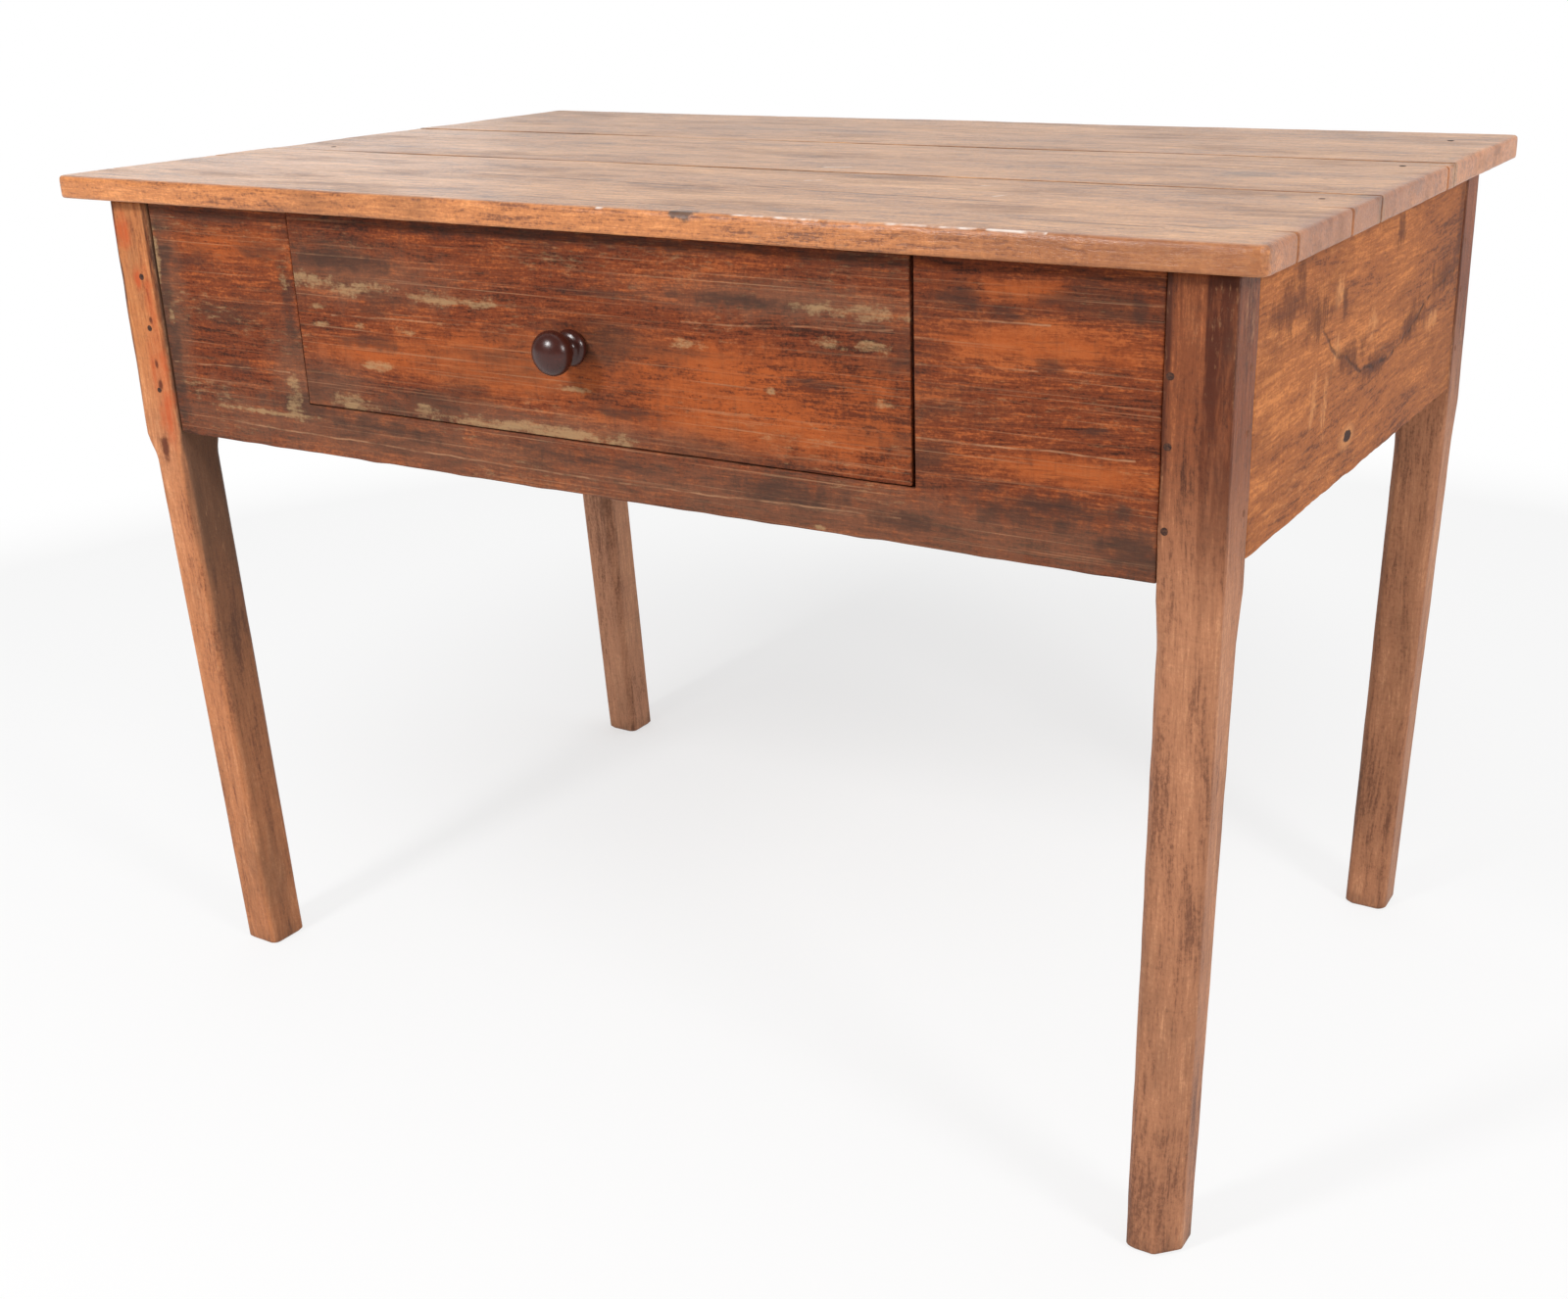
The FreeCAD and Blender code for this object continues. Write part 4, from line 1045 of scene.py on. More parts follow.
nail_material = nail_iron()
dress("guide_nails", nail_material)

# Plank top
# Three wide planks of the same wood laid edge to edge on hidden dowels and nailed at both ends.
# Long use has rounded the outer arrises, scrubbed the faces and split the ends.
PLANK_STEP_LONG = 0.006
PLANK_STEP_WIDE = 0.0045
PLANK_EDGE = 0.006
PLANK_CORNER = 0.009
PLANK_UPPER_ARRIS = 0.0036
PLANK_LOWER_ARRIS = 0.0016
PLANK_SEAM_ARRIS = 0.0011
PLANK_SAG = 0.0009
PLANK_SAG_WAVE = 0.06
PLANK_SAG_STRETCH = (0.35, 1, 1)
PLANK_ARRIS_WAVE = 0.045
PLANK_ARRIS_FINE_WAVE = 0.012
PLANK_WANDER = 0.0009
PLANK_WANDER_WAVE = 0.05
PLANK_WANDER_REACH = 0.006
PLANK_FINE_WAVE = 0.011
PLANK_FINE_REACH = 0.004
PLANK_EDGE_REACH = 0.004
PLANK_SEAM_REACH = 0.0035
SPLIT_DEPTH = 0.0035
SPLIT_WIDTH = 0.0011
SPLIT_LENGTH = 0.035
END_SPLITS = (-0.285, -0.165, 0.1)
# Dents in the front arris, as x and half width
DENTS = ((-0.319, 0.006), (0.136, 0.008), (-0.09, 0.005), (0.33, 0.006), (0.47, 0.005), (-0.45, 0.007))
TOP_WOOD = ((216, 160, 104), (176, 122, 75), (96, 61, 40))
TOP_EDGE = ((222, 148, 90), (192, 122, 72), (124, 74, 48))
TOP_SMOKE = (96, 61, 40)
TOP_DULLED = (124, 74, 48)
TOP_SCRUBBED = (186, 150, 120)
TOP_GRIME = (66, 52, 46)
# Pale scars, and also the colour of the painted highlight along the front arris
TOP_SCAR_AND_HIGHLIGHT = (232, 222, 212)
TOP_GLOSS = 0.46
TOP_GRAIN_DEPTH = 0.0005
# Marks on the top, as x, y, half length, half width and depth down the edge: dark stains, the dull front
# and right edges, and a knock in the front arris
TOP_STAINS = (
    (0.508, -0.277, 0.03, 0.022, 0.012), (0.121, -0.334, 0.01, 0.012, 0.012),
    (0.229, -0.2, 0.016, 0.01, 0.012), (0.494, -0.122, 0.014, 0.012, 0.012),
    (0.146, 0.057, 0.012, 0.014, 0.012), (-0.49, -0.29, 0.012, 0.012, 0.012),
    (-0.28, -0.3, 0.02, 0.012, 0.012), (0.35, -0.31, 0.05, 0.012, 0.012),
    (0.2, -0.315, 0.06, 0.008, 0.012), (0.555, -0.335, 0.012, 0.02, 0.03),
    (0.555, -0.25, 0.014, 0.03, 0.02), (0.555, -0.16, 0.012, 0.012, 0.03),
    (0.55, -0.11, 0.02, 0.024, 0.012), (0.555, 0.0, 0.012, 0.05, 0.02), (0.55, 0.15, 0.02, 0.02, 0.02),
    (0.43, -0.005, 0.05, 0.045, 0.012), (-0.05, -0.2, 0.04, 0.012, 0.012),
)
TOP_DULL = ((0.5, -0.345, 0.22, 0.01, 0.05), (0.556, -0.15, 0.012, 0.3, 0.05))
TOP_KNOCK = ((0.129, -0.34, 0.012, 0.01, 0.01),)
# Lines on the top, as runs of x and y: dark cracks, pale scars, and along the front arris a painted
# highlight, partly pale chips
TOP_CRACKS = (
    ((0.47, -0.283), (0.505, -0.286), (0.535, -0.268)), ((0.36, -0.29), (0.47, -0.296)),
    ((-0.05, -0.31), (0.12, -0.318)), ((0.30, 0.03), (0.50, 0.024)), ((-0.2, -0.2), (0.05, -0.215)),
    ((0.1, -0.2), (0.33, -0.215)),
)
TOP_CRACK_WIDTH = 0.0022
TOP_CRACK_WANDER = 0.008
TOP_SCARS = (
    ((0.08, -0.066), (0.1, -0.058)), ((0.262, -0.132), (0.276, -0.126)),
    ((0.112, -0.15), (0.122, -0.144)), ((0.3, -0.19), (0.306, -0.18)),
)
TOP_SCAR_WIDTH = 0.002
TOP_SCAR_WANDER = 0.012
TOP_ARRIS_PAINTED_HIGHLIGHT = (
    ((0.052, -0.342), (0.056, -0.342)), ((0.17, -0.342), (0.24, -0.342)),
    ((0.25, -0.342), (0.36, -0.342)), ((0.37, -0.342), (0.41, -0.342)),
)
TOP_ARRIS_PAINTED_HIGHLIGHT_WIDTH = 0.0026
TOP_ARRIS_PAINTED_HIGHLIGHT_WANDER = 0.002
top_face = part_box("top_plank_middle")[1].z


def top_spots(tree, place, marks, ragged):
    """One mask for spots on the top."""
    return spots(tree, place, [((x, y, top_face), reach) for x, y, *reach in marks], ragged)


def top_lines(tree, place, runs, width, wander):
    """One mask for lines on the upper face."""
    ends = []
    for run in runs:
        ends += itertools.pairwise((x, y, top_face) for x, y in run)
    return strokes(tree, place, ends, width, wander)


def top_wood(name, shift):
    """Scrubbed wood, brighter along the edges, with grime in the seams, placed stains and scars, and a
    painted highlight along the front arris.
    """
    material, tree, place, grain = new_finish(name, ALONG_THE_TABLE, shift)
    edge = attribute(tree, "edge")
    pores = number(tree, "MULTIPLY_ADD", edge, -0.4, 0.55)
    timber = sawn(tree, grain, TOP_WOOD, TOP_EDGE, edge, Figure=0.75, Streaks=1.15, Pores=pores)
    used = use(
        tree, long_use, Vector=grain, Color=timber["Color"], Grime=srgb(*TOP_SMOKE), Grime_Share=0.55,
        Fleck=srgb(*TOP_SCRUBBED), Fleck_Share=0.4, Chatter=0.12,
    )
    inside = number(tree, "MULTIPLY_ADD", edge, -0.4, 0.4)
    color = rub(tree, used["Color"], grain, TOP_SCRUBBED, inside, Bias=0.1, Spread=0.6, Soft=0.3)
    bias = times(tree, top_spots(tree, place, TOP_STAINS, 1.0), 0.4)
    bias = number(tree, "MULTIPLY_ADD", attribute(tree, "seam"), 0.5, bias)
    color = rub(tree, color, grain, TOP_GRIME, 0.8, Bias=bias, Spread=0.56, Soft=0.3)
    color = paint(tree, color, top_spots(tree, place, TOP_DULL, 0.6), TOP_DULLED, 0.6)
    knock = ramp(tree, top_spots(tree, place, TOP_KNOCK, 0.9), 0.25, 0.6, 0.0, 0.85)
    color = paint(tree, color, knock, TOP_GRIME)
    cracks = top_lines(tree, place, TOP_CRACKS, TOP_CRACK_WIDTH, TOP_CRACK_WANDER)
    color = paint(tree, color, cracks, TOP_GRIME, 0.7)
    scars = top_lines(tree, place, TOP_SCARS, TOP_SCAR_WIDTH, TOP_SCAR_WANDER)
    color = paint(tree, color, scars, TOP_SCAR_AND_HIGHLIGHT, 0.7)
    # Painted highlight: a broken near-white line along the front arris, with a few real pale chips
    chips = top_lines(tree, place, TOP_ARRIS_PAINTED_HIGHLIGHT, TOP_ARRIS_PAINTED_HIGHLIGHT_WIDTH, TOP_ARRIS_PAINTED_HIGHLIGHT_WANDER)
    broken = ramp(tree, noise(tree, stretched(tree, place, 40.0, 40.0), 3.0, 0.7), 0.4, 0.6, 0.1, 0.8)
    color = paint(tree, color, chips, TOP_SCAR_AND_HIGHLIGHT, broken)
    rough = number(tree, "MULTIPLY_ADD", used["Smoke"], 0.18, 0.32)
    height = number(tree, "MULTIPLY_ADD", cracks, -1.5, timber["Height"])
    feed_shader(tree, color, rough, height, TOP_GRAIN_DEPTH, TOP_GLOSS)
    return material


def eased_plank(points, low, high, corner, upper, lower):
    """A plank's skin with its plan corners and its upper and lower arrises rounded off.
    Also gives each point's distance from the plank's edge and the way out to it."""
    middle = (low + high)[:2] / 2
    half = (high - low)[:2] / 2
    side = np.where(points[:, :2] < middle, -1.0, 1.0)
    gap = half - np.abs(points[:, :2] - middle)
    into = np.maximum(corner[:, None] - gap, 0)
    in_corner = (into.min(1) > 0)[:, None]
    slant = into / np.maximum(np.linalg.norm(into, axis=1, keepdims=True), 1e-9)
    outward = np.where(in_corner, slant, np.eye(2)[gap.argmin(1)])
    deepest = into.max(1)
    from_edge = np.where(in_corner[:, 0], corner - deepest, gap.min(1))
    gap = np.where(in_corner, corner[:, None] - outward * deepest[:, None], gap)
    z = points[:, 2].copy()
    for radius, height, up in ((upper, high[2] - z, -1), (lower, z - low[2], 1)):
        across = np.maximum(radius - from_edge, 0)
        rise = np.maximum(radius - height, 0)
        both = np.minimum(across, rise) > 0
        shrink = np.where(both, np.maximum(across, rise) / np.maximum(np.hypot(across, rise), 1e-9), 1.0)
        gap = gap + outward * (across - across * shrink)[:, None]
        z = z + up * (rise - rise * shrink)
    return np.column_stack((middle + side * (half - gap), z)), from_edge, side * outward


def plank_piece(node, seams, material, seed):
    """A plank; seams lists the y of its edges that lie against another plank."""
    low, high = (np.array(corner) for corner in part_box(node))
    splits = [y for y in END_SPLITS if low[1] + PLANK_EDGE < y < high[1] - PLANK_EDGE]
    lines = (
        grid_lines(low[0], high[0], PLANK_STEP_LONG, PLANK_EDGE),
        grid_through(low[1], high[1], PLANK_STEP_WIDE, PLANK_EDGE, splits),
        grid_lines(low[2], high[2], PLANK_STEP_WIDE, PLANK_EDGE),
    )
    points, faces = lattice_skin(lines)
    from_seam = np.min([np.abs(points[:, 1] - y) for y in seams], axis=0)
    near_seam = from_seam < PLANK_CORNER
    fine = 0.3 * uneven(points, PLANK_ARRIS_FINE_WAVE, seed + 1)
    ragged = 1 + 0.45 * uneven(points, PLANK_ARRIS_WAVE, seed) + fine
    upper = np.where(from_seam < PLANK_EDGE, PLANK_SEAM_ARRIS, PLANK_UPPER_ARRIS) * ragged
    for x, half_width in DENTS:
        dent = np.exp(-(((points[:, 0] - x) / half_width) ** 2)) * (points[:, 1] < low[1] + PLANK_CORNER)
        upper += np.where(near_seam, 0, dent) * PLANK_UPPER_ARRIS * 0.6
    lower = np.where(near_seam, PLANK_SEAM_ARRIS, PLANK_LOWER_ARRIS) * ragged
    corner = np.where(near_seam, PLANK_SEAM_ARRIS, PLANK_CORNER)
    skin, from_edge, outward = eased_plank(points, low, high, corner, upper, lower)
    height = (skin[:, 2] - low[2]) / (high[2] - low[2])
    sag = hollowed(points * PLANK_SAG_STRETCH, PLANK_SAG_WAVE, PLANK_SAG, seed + 2)
    skin[:, 2] += np.where(height > 0.5, -sag, sag * 0.5)
    slow = hollowed(points, PLANK_WANDER_WAVE, PLANK_WANDER, seed + 3)
    fine = hollowed(points, PLANK_FINE_WAVE, PLANK_WANDER / 2, seed + 4)
    wander = slow * np.exp(-from_edge / PLANK_WANDER_REACH) + fine * np.exp(-from_edge / PLANK_FINE_REACH)
    from_end = np.minimum(points[:, 0] - low[0], high[0] - points[:, 0])
    for i, y in enumerate(splits):
        split = np.exp(-(((points[:, 1] - y) / SPLIT_WIDTH) ** 2))
        reach = SPLIT_LENGTH * (0.5 + 0.5 * ((i * 7 + seed) % 5) / 4)
        split *= np.clip(1 - from_end / reach, 0, 1)
        skin[:, 2] -= np.where(height > 0.5, split * SPLIT_DEPTH / 2, 0)
        wander += np.where(from_end < PLANK_EDGE, split * SPLIT_DEPTH, 0)
    skin[:, :2] -= outward * wander[:, None]
    edge = np.where(near_seam, 0, np.exp(-from_edge / PLANK_EDGE_REACH))
    seam = np.exp(-from_seam / PLANK_SEAM_REACH)
    piece = add_piece(node + "_worn", skin, faces, material, edge=edge, seam=seam)
    stand_for(node, piece, "frame")


seam_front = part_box("top_plank_front")[1].y
seam_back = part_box("top_plank_middle")[1].y
plank_piece("top_plank_front", (seam_front,), top_wood("front_plank_wood", (0.0, 0.0, 0.0)), 100)
plank_piece("top_plank_middle", (seam_front, seam_back), top_wood("middle_plank_wood", (1.7, 0.4, 0.2)), 110)
plank_piece("top_plank_back", (seam_back,), top_wood("back_plank_wood", (3.1, 0.9, 0.6)), 120)
dress("seam_dowels", bare_crosswise)

# Nails in the top
# Large-headed forged iron nails, driven down through the planks into the legs and side aprons,
# hammered level with the wood and worn dark.
TOP_NAIL_SIDES = 8
TOP_NAIL_TURN = 0.4
TOP_NAIL_UNEVEN = 0.2
TOP_NAIL_ACROSS = 0.0062
TOP_NAIL_DEPTH = 0.012
TOP_NAIL_SUNK = 0.0005
nail_places = []
for solid in solids_of("top_nails"):
    place = (solid.min(0) + solid.max(0)) / 2
    place[2] = top_face - TOP_NAIL_SUNK - TOP_NAIL_DEPTH / 2
    nail_places.append(place)
top_heads = drive_in(
    "top_nail_heads", nail_places, Sides=TOP_NAIL_SIDES, Across=TOP_NAIL_ACROSS, Depth=TOP_NAIL_DEPTH,
    Turn=(0.0, 0.0, TOP_NAIL_TURN), Uneven=TOP_NAIL_UNEVEN, Seed=9, Material=nail_material,
)
stand_for("top_nails", top_heads, "frame")

# Drawer box
# Thin boards of bare wood: sides dovetailed into the front and back, and two bottom boards that are
# bevelled into grooves and nailed up under the back.
side_board_wood = bare_wood("bare_wood_sides", ALONG_THE_SIDE, (0.9, 0.3, 0.8))
for board in ("drawer_side_left", "drawer_side_right"):
    dress(board, side_board_wood)
for board in ("drawer_back", "drawer_bottom_front", "drawer_bottom_back"):
    dress(board, bare_lengthwise)
dress("drawer_bottom_nails", nail_material)

# Drawer front
# A wide board stained like the apron and scuffed by hands and knees, with sockets sawn in its back
# for the sides' dovetails.
DRAWER_ARRIS = 0.0012
DRAWER_WEAR_REACH = 0.003
DRAWER_HOLLOW_STRETCH = (0.4, 1, 1)
SOCKET_ROOM = 0.0001
SOCKET_SHARP = math.radians(50)
drawer_material = stained_wood(
    "drawer_stained_wood",
    (0.9, 0.0, 0.37),
    pale=(
        (-0.266, 0.692, 0.03, 0.01), (-0.21, 0.688, 0.05, 0.008), (-0.12, 0.687, 0.07, 0.006),
        (-0.266, 0.671, 0.014, 0.004), (-0.262, 0.656, 0.014, 0.004), (-0.22, 0.658, 0.008, 0.004),
        (-0.166, 0.657, 0.02, 0.005), (-0.13, 0.666, 0.008, 0.003), (-0.20, 0.626, 0.022, 0.006),
        (-0.235, 0.592, 0.03, 0.009), (-0.159, 0.592, 0.014, 0.007), (-0.05, 0.59, 0.14, 0.007),
        (0.0, 0.626, 0.02, 0.004), (0.258, 0.705, 0.06, 0.008), (0.115, 0.671, 0.02, 0.006),
        (0.235, 0.681, 0.025, 0.008), (0.27, 0.682, 0.022, 0.006), (0.284, 0.643, 0.016, 0.004),
        (0.187, 0.642, 0.006, 0.004),
    ),
    dark=(
        (-0.23, 0.712, 0.07, 0.009), (0.03, 0.703, 0.05, 0.004), (-0.21, 0.645, 0.05, 0.008),
        (-0.253, 0.582, 0.02, 0.005), (0.16, 0.706, 0.06, 0.006), (0.23, 0.651, 0.03, 0.004),
        # The long thin mark along the drawer's top edge is painted shade under the tabletop's edge
        (0.0, 0.743, 0.3, 0.008), (0.05, 0.612, 0.05, 0.006),
    ),
    warm=(
        (0.16, 0.65, 0.12, 0.02), (0.19, 0.622, 0.14, 0.026), (-0.2, 0.635, 0.06, 0.012),
        (-0.05, 0.64, 0.12, 0.022),
    ),
    dull=(
        (-0.22, 0.7, 0.1, 0.022), (-0.06, 0.593, 0.2, 0.012), (0.2, 0.708, 0.12, 0.014),
        (-0.26, 0.6, 0.05, 0.025),
    ),
    scratches=((0.11, 0.686, 0.289, 0.694), (-0.25, 0.665, -0.1, 0.668)),
)


def grown_copy(node, room):
    """A merged copy of a node's solid, grown all round, to cut a socket for it."""
    body = merged_copy(node)
    body.normal_update()
    for vertex in body.verts:
        vertex.co += vertex.normal * room
    mesh = bpy.data.meshes.new(node + "_cutter")
    body.to_mesh(mesh)
    body.free()
    return add_object(node + "_cutter", mesh)


def cut_sockets(piece, nodes, room):
    """Cut a piece so that the solids of the nodes fit into it."""
    cutters = []
    for node in nodes:
        cutter = grown_copy(node, room)
        cut = piece.modifiers.new("socket", "BOOLEAN")
        cut.operation = "DIFFERENCE"
        cut.solver = "EXACT"
        cut.object = cutter
        cutters.append(cutter)
    made = bpy.data.meshes.new_from_object(piece.evaluated_get(bpy.context.evaluated_depsgraph_get()))
    piece.modifiers.clear()
    piece.data = made
    made.set_sharp_from_angle(angle=SOCKET_SHARP)
    for cutter in cutters:
        bpy.data.objects.remove(cutter)


def drawer_front_piece():
    """The drawer's front board, hollowed a little on its outer face, with the sockets cut in it."""
    low, high = np.array(panel_low), np.array(panel_high)
    lines = [grid_lines(a, b, BOARD_STEP, BOARD_EDGE) for a, b in zip(low, high)]
    points, faces = lattice_skin(lines)
    points, worn = worn_skin(points, low, high, DRAWER_ARRIS, DRAWER_WEAR_REACH, 81)
    sunk = hollowed(points * DRAWER_HOLLOW_STRETCH, BOARD_WAVE, BOARD_HOLLOW, 82)
    points[:, 1] += np.where(points[:, 1] < (low[1] + high[1]) / 2, sunk, 0)
    piece = add_piece("drawer_front_board", points, faces, drawer_material, worn=worn)
    cut_sockets(piece, ("drawer_side_left", "drawer_side_right", "drawer_bottom_front"), SOCKET_ROOM)
    return piece


stand_for("drawer_front", drawer_front_piece(), "drawer")

# Knob
# Turned from a dark hardwood and polished: a bead against the drawer, a hollow neck and a domed head.
# Its tenon passes through the drawer front and is wedged from inside.
KNOB_SEGMENTS = 72
KNOB_REACH = 0.038
KNOB_HEAD = 0.0175
KNOB_BEAD = 0.0145
KNOB_NECK = 0.008
KNOB_TENON = 0.006
KNOB_TENON_SHORT = 0.0003
KNOB_CURVE = 0.0012
KNOB_BEAD_CUTS = 10
KNOB_NECK_CUTS = 8
KNOB_DOME_CUTS = 18
KNOB_SHARP = math.radians(45)
KNOB_GRAIN_DEPTH = 0.00004
# Places along the knob, as shares of its reach, and radii, as shares of the bead's and the head's
BEAD_FOOT_SHARE = 0.86
BEAD_END_SHARE = 0.2
NECK_SHARE = 0.34
HEAD_BACK_SHARE = 0.5
HEAD_BACK_RADIUS_SHARE = 0.78
DOME_SHARE = 0.68
KNOB_WOOD = ((84, 39, 29), (60, 25, 19), (42, 17, 13))
KNOB_GLOSS = 0.45
knob_low, knob_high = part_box("drawer_knob")
knob_axis = (knob_low + knob_high) / 2


def bow(start, end, bulge, count):
    """Points of a bowed line from start towards end, as distance out and radius."""
    start, end = np.array(start), np.array(end)
    run = end - start
    out = np.array((-run[1], run[0])) / np.linalg.norm(run)
    shares = np.arange(count) / count
    return [start + run * share + out * bulge * math.sin(math.pi * share) for share in shares]


def knob_profile():
    """The knob's outline from the tenon's inner end to the top of the dome, as distance out and radius."""
    foot = KNOB_BEAD * BEAD_FOOT_SHARE
    bead_end = (KNOB_REACH * BEAD_END_SHARE, foot)
    neck = (KNOB_REACH * NECK_SHARE, KNOB_NECK)
    back = (KNOB_REACH * HEAD_BACK_SHARE, KNOB_HEAD * HEAD_BACK_RADIUS_SHARE)
    dome = KNOB_REACH * DOME_SHARE
    inside = -(knob_high.y - panel_low.y) + KNOB_TENON_SHORT
    points = [(inside, 0.0), (inside, KNOB_TENON), (0.0, KNOB_TENON)]
    points += bow((0.0, foot), bead_end, KNOB_BEAD - foot, KNOB_BEAD_CUTS)
    points += bow(bead_end, neck, -KNOB_CURVE, KNOB_NECK_CUTS)
    points += bow(neck, back, -KNOB_CURVE, KNOB_NECK_CUTS)
    points += bow(back, (dome, KNOB_HEAD), KNOB_CURVE, KNOB_NECK_CUTS)
    for step in range(KNOB_DOME_CUTS):
        turn = math.pi / 2 * step / KNOB_DOME_CUTS
        points.append((dome + (KNOB_REACH - dome) * math.sin(turn), KNOB_HEAD * math.cos(turn)))
    points.append((KNOB_REACH, 0.0))
    return points


def knob_wood():
    """Polished dark hardwood with a faint grain."""
    material, tree, _, grain = new_finish("knob_wood", ALONG_THE_SIDE, (0.0, 0.0, 0.0))
    timber = sawn(tree, grain, KNOB_WOOD, Figure=0.6, Streaks=0.35, Pores=0.15)
    rough = number(tree, "MULTIPLY_ADD", timber["Tone"], 0.08, 0.24)
    feed_shader(tree, timber["Color"], rough, timber["Height"], KNOB_GRAIN_DEPTH, KNOB_GLOSS)
    return material


def lathe(name, profile, material):
    """A turned piece: the profile's distances out and radii swept round the knob's axis."""
    points, faces = [], []
    ring_starts = []
    for out, radius in profile:
        ring_starts.append(len(points))
        for i in range(KNOB_SEGMENTS if radius > 0 else 1):
            angle = 2 * math.pi * i / KNOB_SEGMENTS
            x, z = radius * math.cos(angle), radius * math.sin(angle)
            points.append((knob_axis.x + x, panel_low.y - out, knob_axis.z + z))
    for (a, (_, first)), (b, (_, second)) in itertools.pairwise(zip(ring_starts, profile)):
        for i in range(KNOB_SEGMENTS):
            j = (i + 1) % KNOB_SEGMENTS
            near = [a + i, a + j] if first > 0 else [a]
            far = [b + j, b + i] if second > 0 else [b]
            faces.append(near + far)
    piece = add_piece(name, points, faces, material)
    body = bmesh.new()
    body.from_mesh(piece.data)
    bmesh.ops.recalc_face_normals(body, faces=body.faces)
    body.to_mesh(piece.data)
    body.free()
    piece.data.set_sharp_from_angle(angle=KNOB_SHARP)
    return piece


knob = lathe("drawer_knob_turned", knob_profile(), knob_wood())
stand_for("drawer_knob", knob, "drawer")
dress("knob_wedge", peg_material)

# Studio
# A pale floor that runs on to white, soft lamps at the left, the right, overhead and behind, in a
# white room that is darker in front. The camera stands a little above the top, off its right corner.
FLOOR_REACH = 30.0
FLOOR_PALE = 0.8
FLOOR_ROUGH = 0.9
# Shares of plain white in the floor as seen: behind the table, before it and far away
FLOOR_DIM = (-0.3, 0.6, 0.0)
FLOOR_DIM_START = 0.2
FLOOR_DIM_END = 0.9
FLOOR_WHITE_BEHIND = 0.56
FLOOR_WHITE_BEFORE = 0.8
FLOOR_FADE_START = 0.9
FLOOR_FADE_END = 2.2
CAMERA_PLACE = Vector((0.8978, -1.4055, 0.9388))
CAMERA_YAW = math.radians(31.21)
CAMERA_PITCH = math.radians(20.32)
CAMERA_ROLL = math.radians(1.46)
CAMERA_LENS = 41.62
CAMERA_SHIFT = (-0.038, -0.016)
ROOM_LIGHT = 0.57
ROOM_FRONT_SHINE = 0.15
ROOM_FRONT_TURN = 0.3
LAMP_AIM = Vector((0.0, 0.0, 0.4))
# Lamps, each with its place, size and power
LAMPS = (
    ("key_lamp", (-0.55, -2.0, 1.8), 0.4, 31.0),
    ("side_lamp", (2.2, -0.9, 1.7), 0.6, 27.0),
    ("overhead_lamp", (0.2, 0.8, 3.0), 3.0, 14.0),
    ("back_lamp", (-3.4, 2.4, 1.2), 1.6, 4.0),
)


def seen_directly(tree):
    """1 for rays from the camera or by way of a glossy or clear surface, 0 for the light that spreads."""
    path = tree.nodes.new("ShaderNodeLightPath").outputs
    seen = number(tree, "MAXIMUM", path["Is Camera Ray"], path["Is Glossy Ray"])
    return number(tree, "MAXIMUM", seen, path["Is Transmission Ray"])


def floor_paint():
    """Matt pale paint, whiter as seen than it is lit, and clear from below."""
    material = bpy.data.materials.new("pale_floor")
    material.use_nodes = True
    tree = material.node_tree
    shader = tree.nodes["Principled BSDF"]
    shader.inputs["Base Color"].default_value = (FLOOR_PALE, FLOOR_PALE, FLOOR_PALE, 1.0)
    shader.inputs["Roughness"].default_value = FLOOR_ROUGH
    shader.inputs["Specular IOR Level"].default_value = 0.0
    white = put(tree, "ShaderNodeEmission", (1.0, 1.0, 1.0, 1.0), 1.0)
    place = tree.nodes.new("ShaderNodeTexCoord").outputs["Object"]
    behind = length_of(tree, vector(tree, "SUBTRACT", place, FLOOR_DIM))
    share = ramp(tree, behind, FLOOR_DIM_START, FLOOR_DIM_END, FLOOR_WHITE_BEHIND, FLOOR_WHITE_BEFORE)
    far = ramp(tree, length_of(tree, place), FLOOR_FADE_START, FLOOR_FADE_END)
    share = number(tree, "MAXIMUM", share, far)
    share = times(tree, share, seen_directly(tree))
    above = put(tree, "ShaderNodeMixShader", share, shader.outputs[0], white.outputs[0])
    below = tree.nodes.new("ShaderNodeNewGeometry").outputs["Backfacing"]
    clear = tree.nodes.new("ShaderNodeBsdfTransparent")
    either = put(tree, "ShaderNodeMixShader", below, above.outputs[0], clear.outputs[0])
    join(tree, either.outputs[0], tree.nodes["Material Output"].inputs["Surface"])
    return material


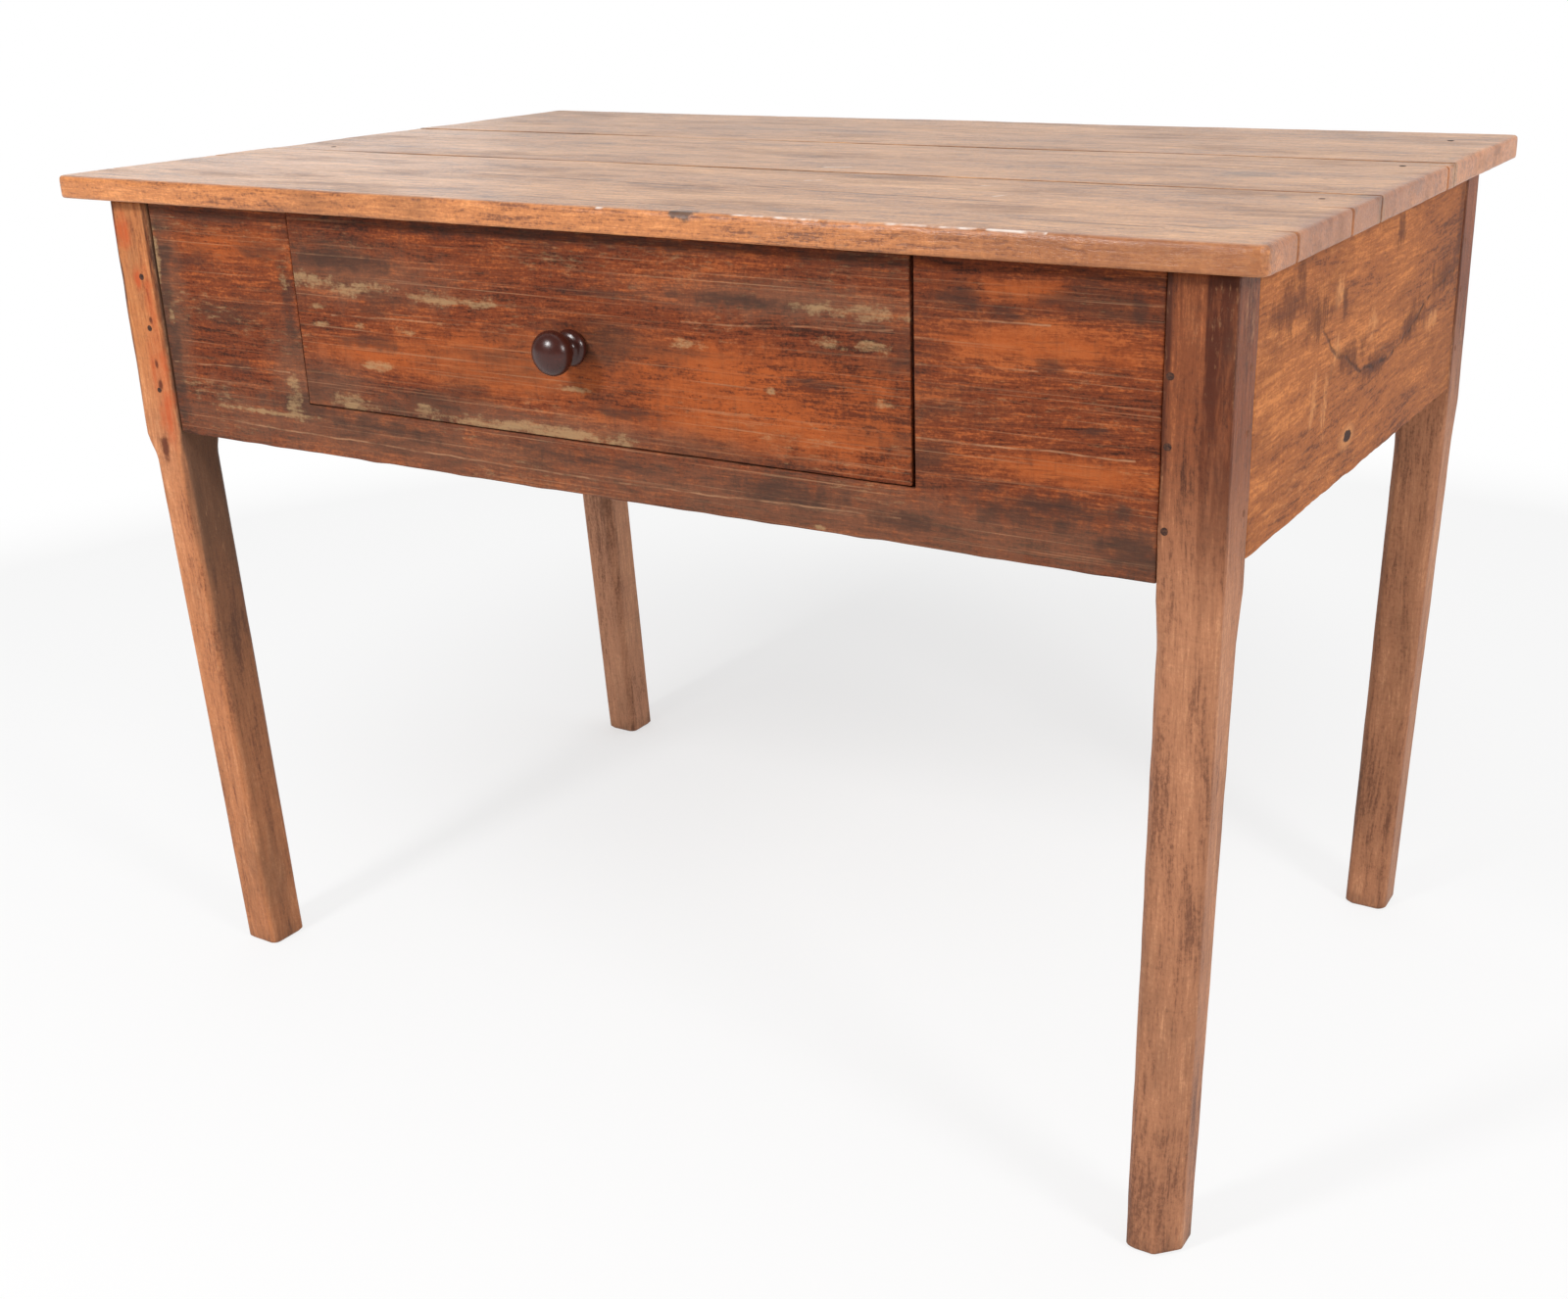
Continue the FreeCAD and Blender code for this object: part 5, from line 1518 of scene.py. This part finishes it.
floor_mesh = bpy.data.meshes.new("floor")
corners = [(x * FLOOR_REACH, y * FLOOR_REACH, 0.0) for x, y in ((-1, -1), (1, -1), (1, 1), (-1, 1))]
floor_mesh.from_pydata(corners, [], [(0, 1, 2, 3)])
floor_mesh.materials.append(floor_paint())
floor = add_object("floor", floor_mesh)

world = bpy.data.worlds.new("white_room")
world.use_nodes = True
room = world.node_tree
sky = room.nodes["Background"]
sky.inputs["Color"].default_value = (1.0, 1.0, 1.0, 1.0)
path = room.nodes.new("ShaderNodeLightPath").outputs
way = put(room, "ShaderNodeSeparateXYZ", room.nodes.new("ShaderNodeTexCoord").outputs["Generated"])
darkest, brightest = ROOM_FRONT_SHINE - ROOM_LIGHT, 1.0 - ROOM_LIGHT
shine = ramp(room, way.outputs["Y"], -ROOM_FRONT_TURN, ROOM_FRONT_TURN, darkest, brightest)
level = number(room, "MULTIPLY_ADD", shine, path["Is Glossy Ray"], ROOM_LIGHT)
level = number(room, "MULTIPLY_ADD", path["Is Camera Ray"], 1.0 - ROOM_LIGHT, level)
join(room, level, sky.inputs["Strength"])
bpy.context.scene.world = world

for name, place, size, power in LAMPS:
    lamp = bpy.data.lights.new(name, "AREA")
    lamp.shape = "DISK"
    lamp.size = size
    lamp.energy = power
    stand = add_object(name, lamp)
    stand.location = place
    stand.rotation_euler = (LAMP_AIM - Vector(place)).to_track_quat("-Z", "Y").to_euler()

ahead = Vector((
    -math.sin(CAMERA_YAW) * math.cos(CAMERA_PITCH),
    math.cos(CAMERA_YAW) * math.cos(CAMERA_PITCH),
    -math.sin(CAMERA_PITCH),
))
level_right = Vector((math.cos(CAMERA_YAW), math.sin(CAMERA_YAW), 0.0))
level_up = level_right.cross(ahead)
right = level_right * math.cos(CAMERA_ROLL) - level_up * math.sin(CAMERA_ROLL)
up = right.cross(ahead)
camera = add_object("camera", bpy.data.cameras.new("camera"))
camera.data.lens = CAMERA_LENS
camera.data.shift_x, camera.data.shift_y = CAMERA_SHIFT
camera.matrix_world = Matrix.Translation(CAMERA_PLACE) @ Matrix((right, up, -ahead)).transposed().to_4x4()
bpy.context.scene.camera = camera
bpy.context.scene.view_settings.view_transform = "Standard"
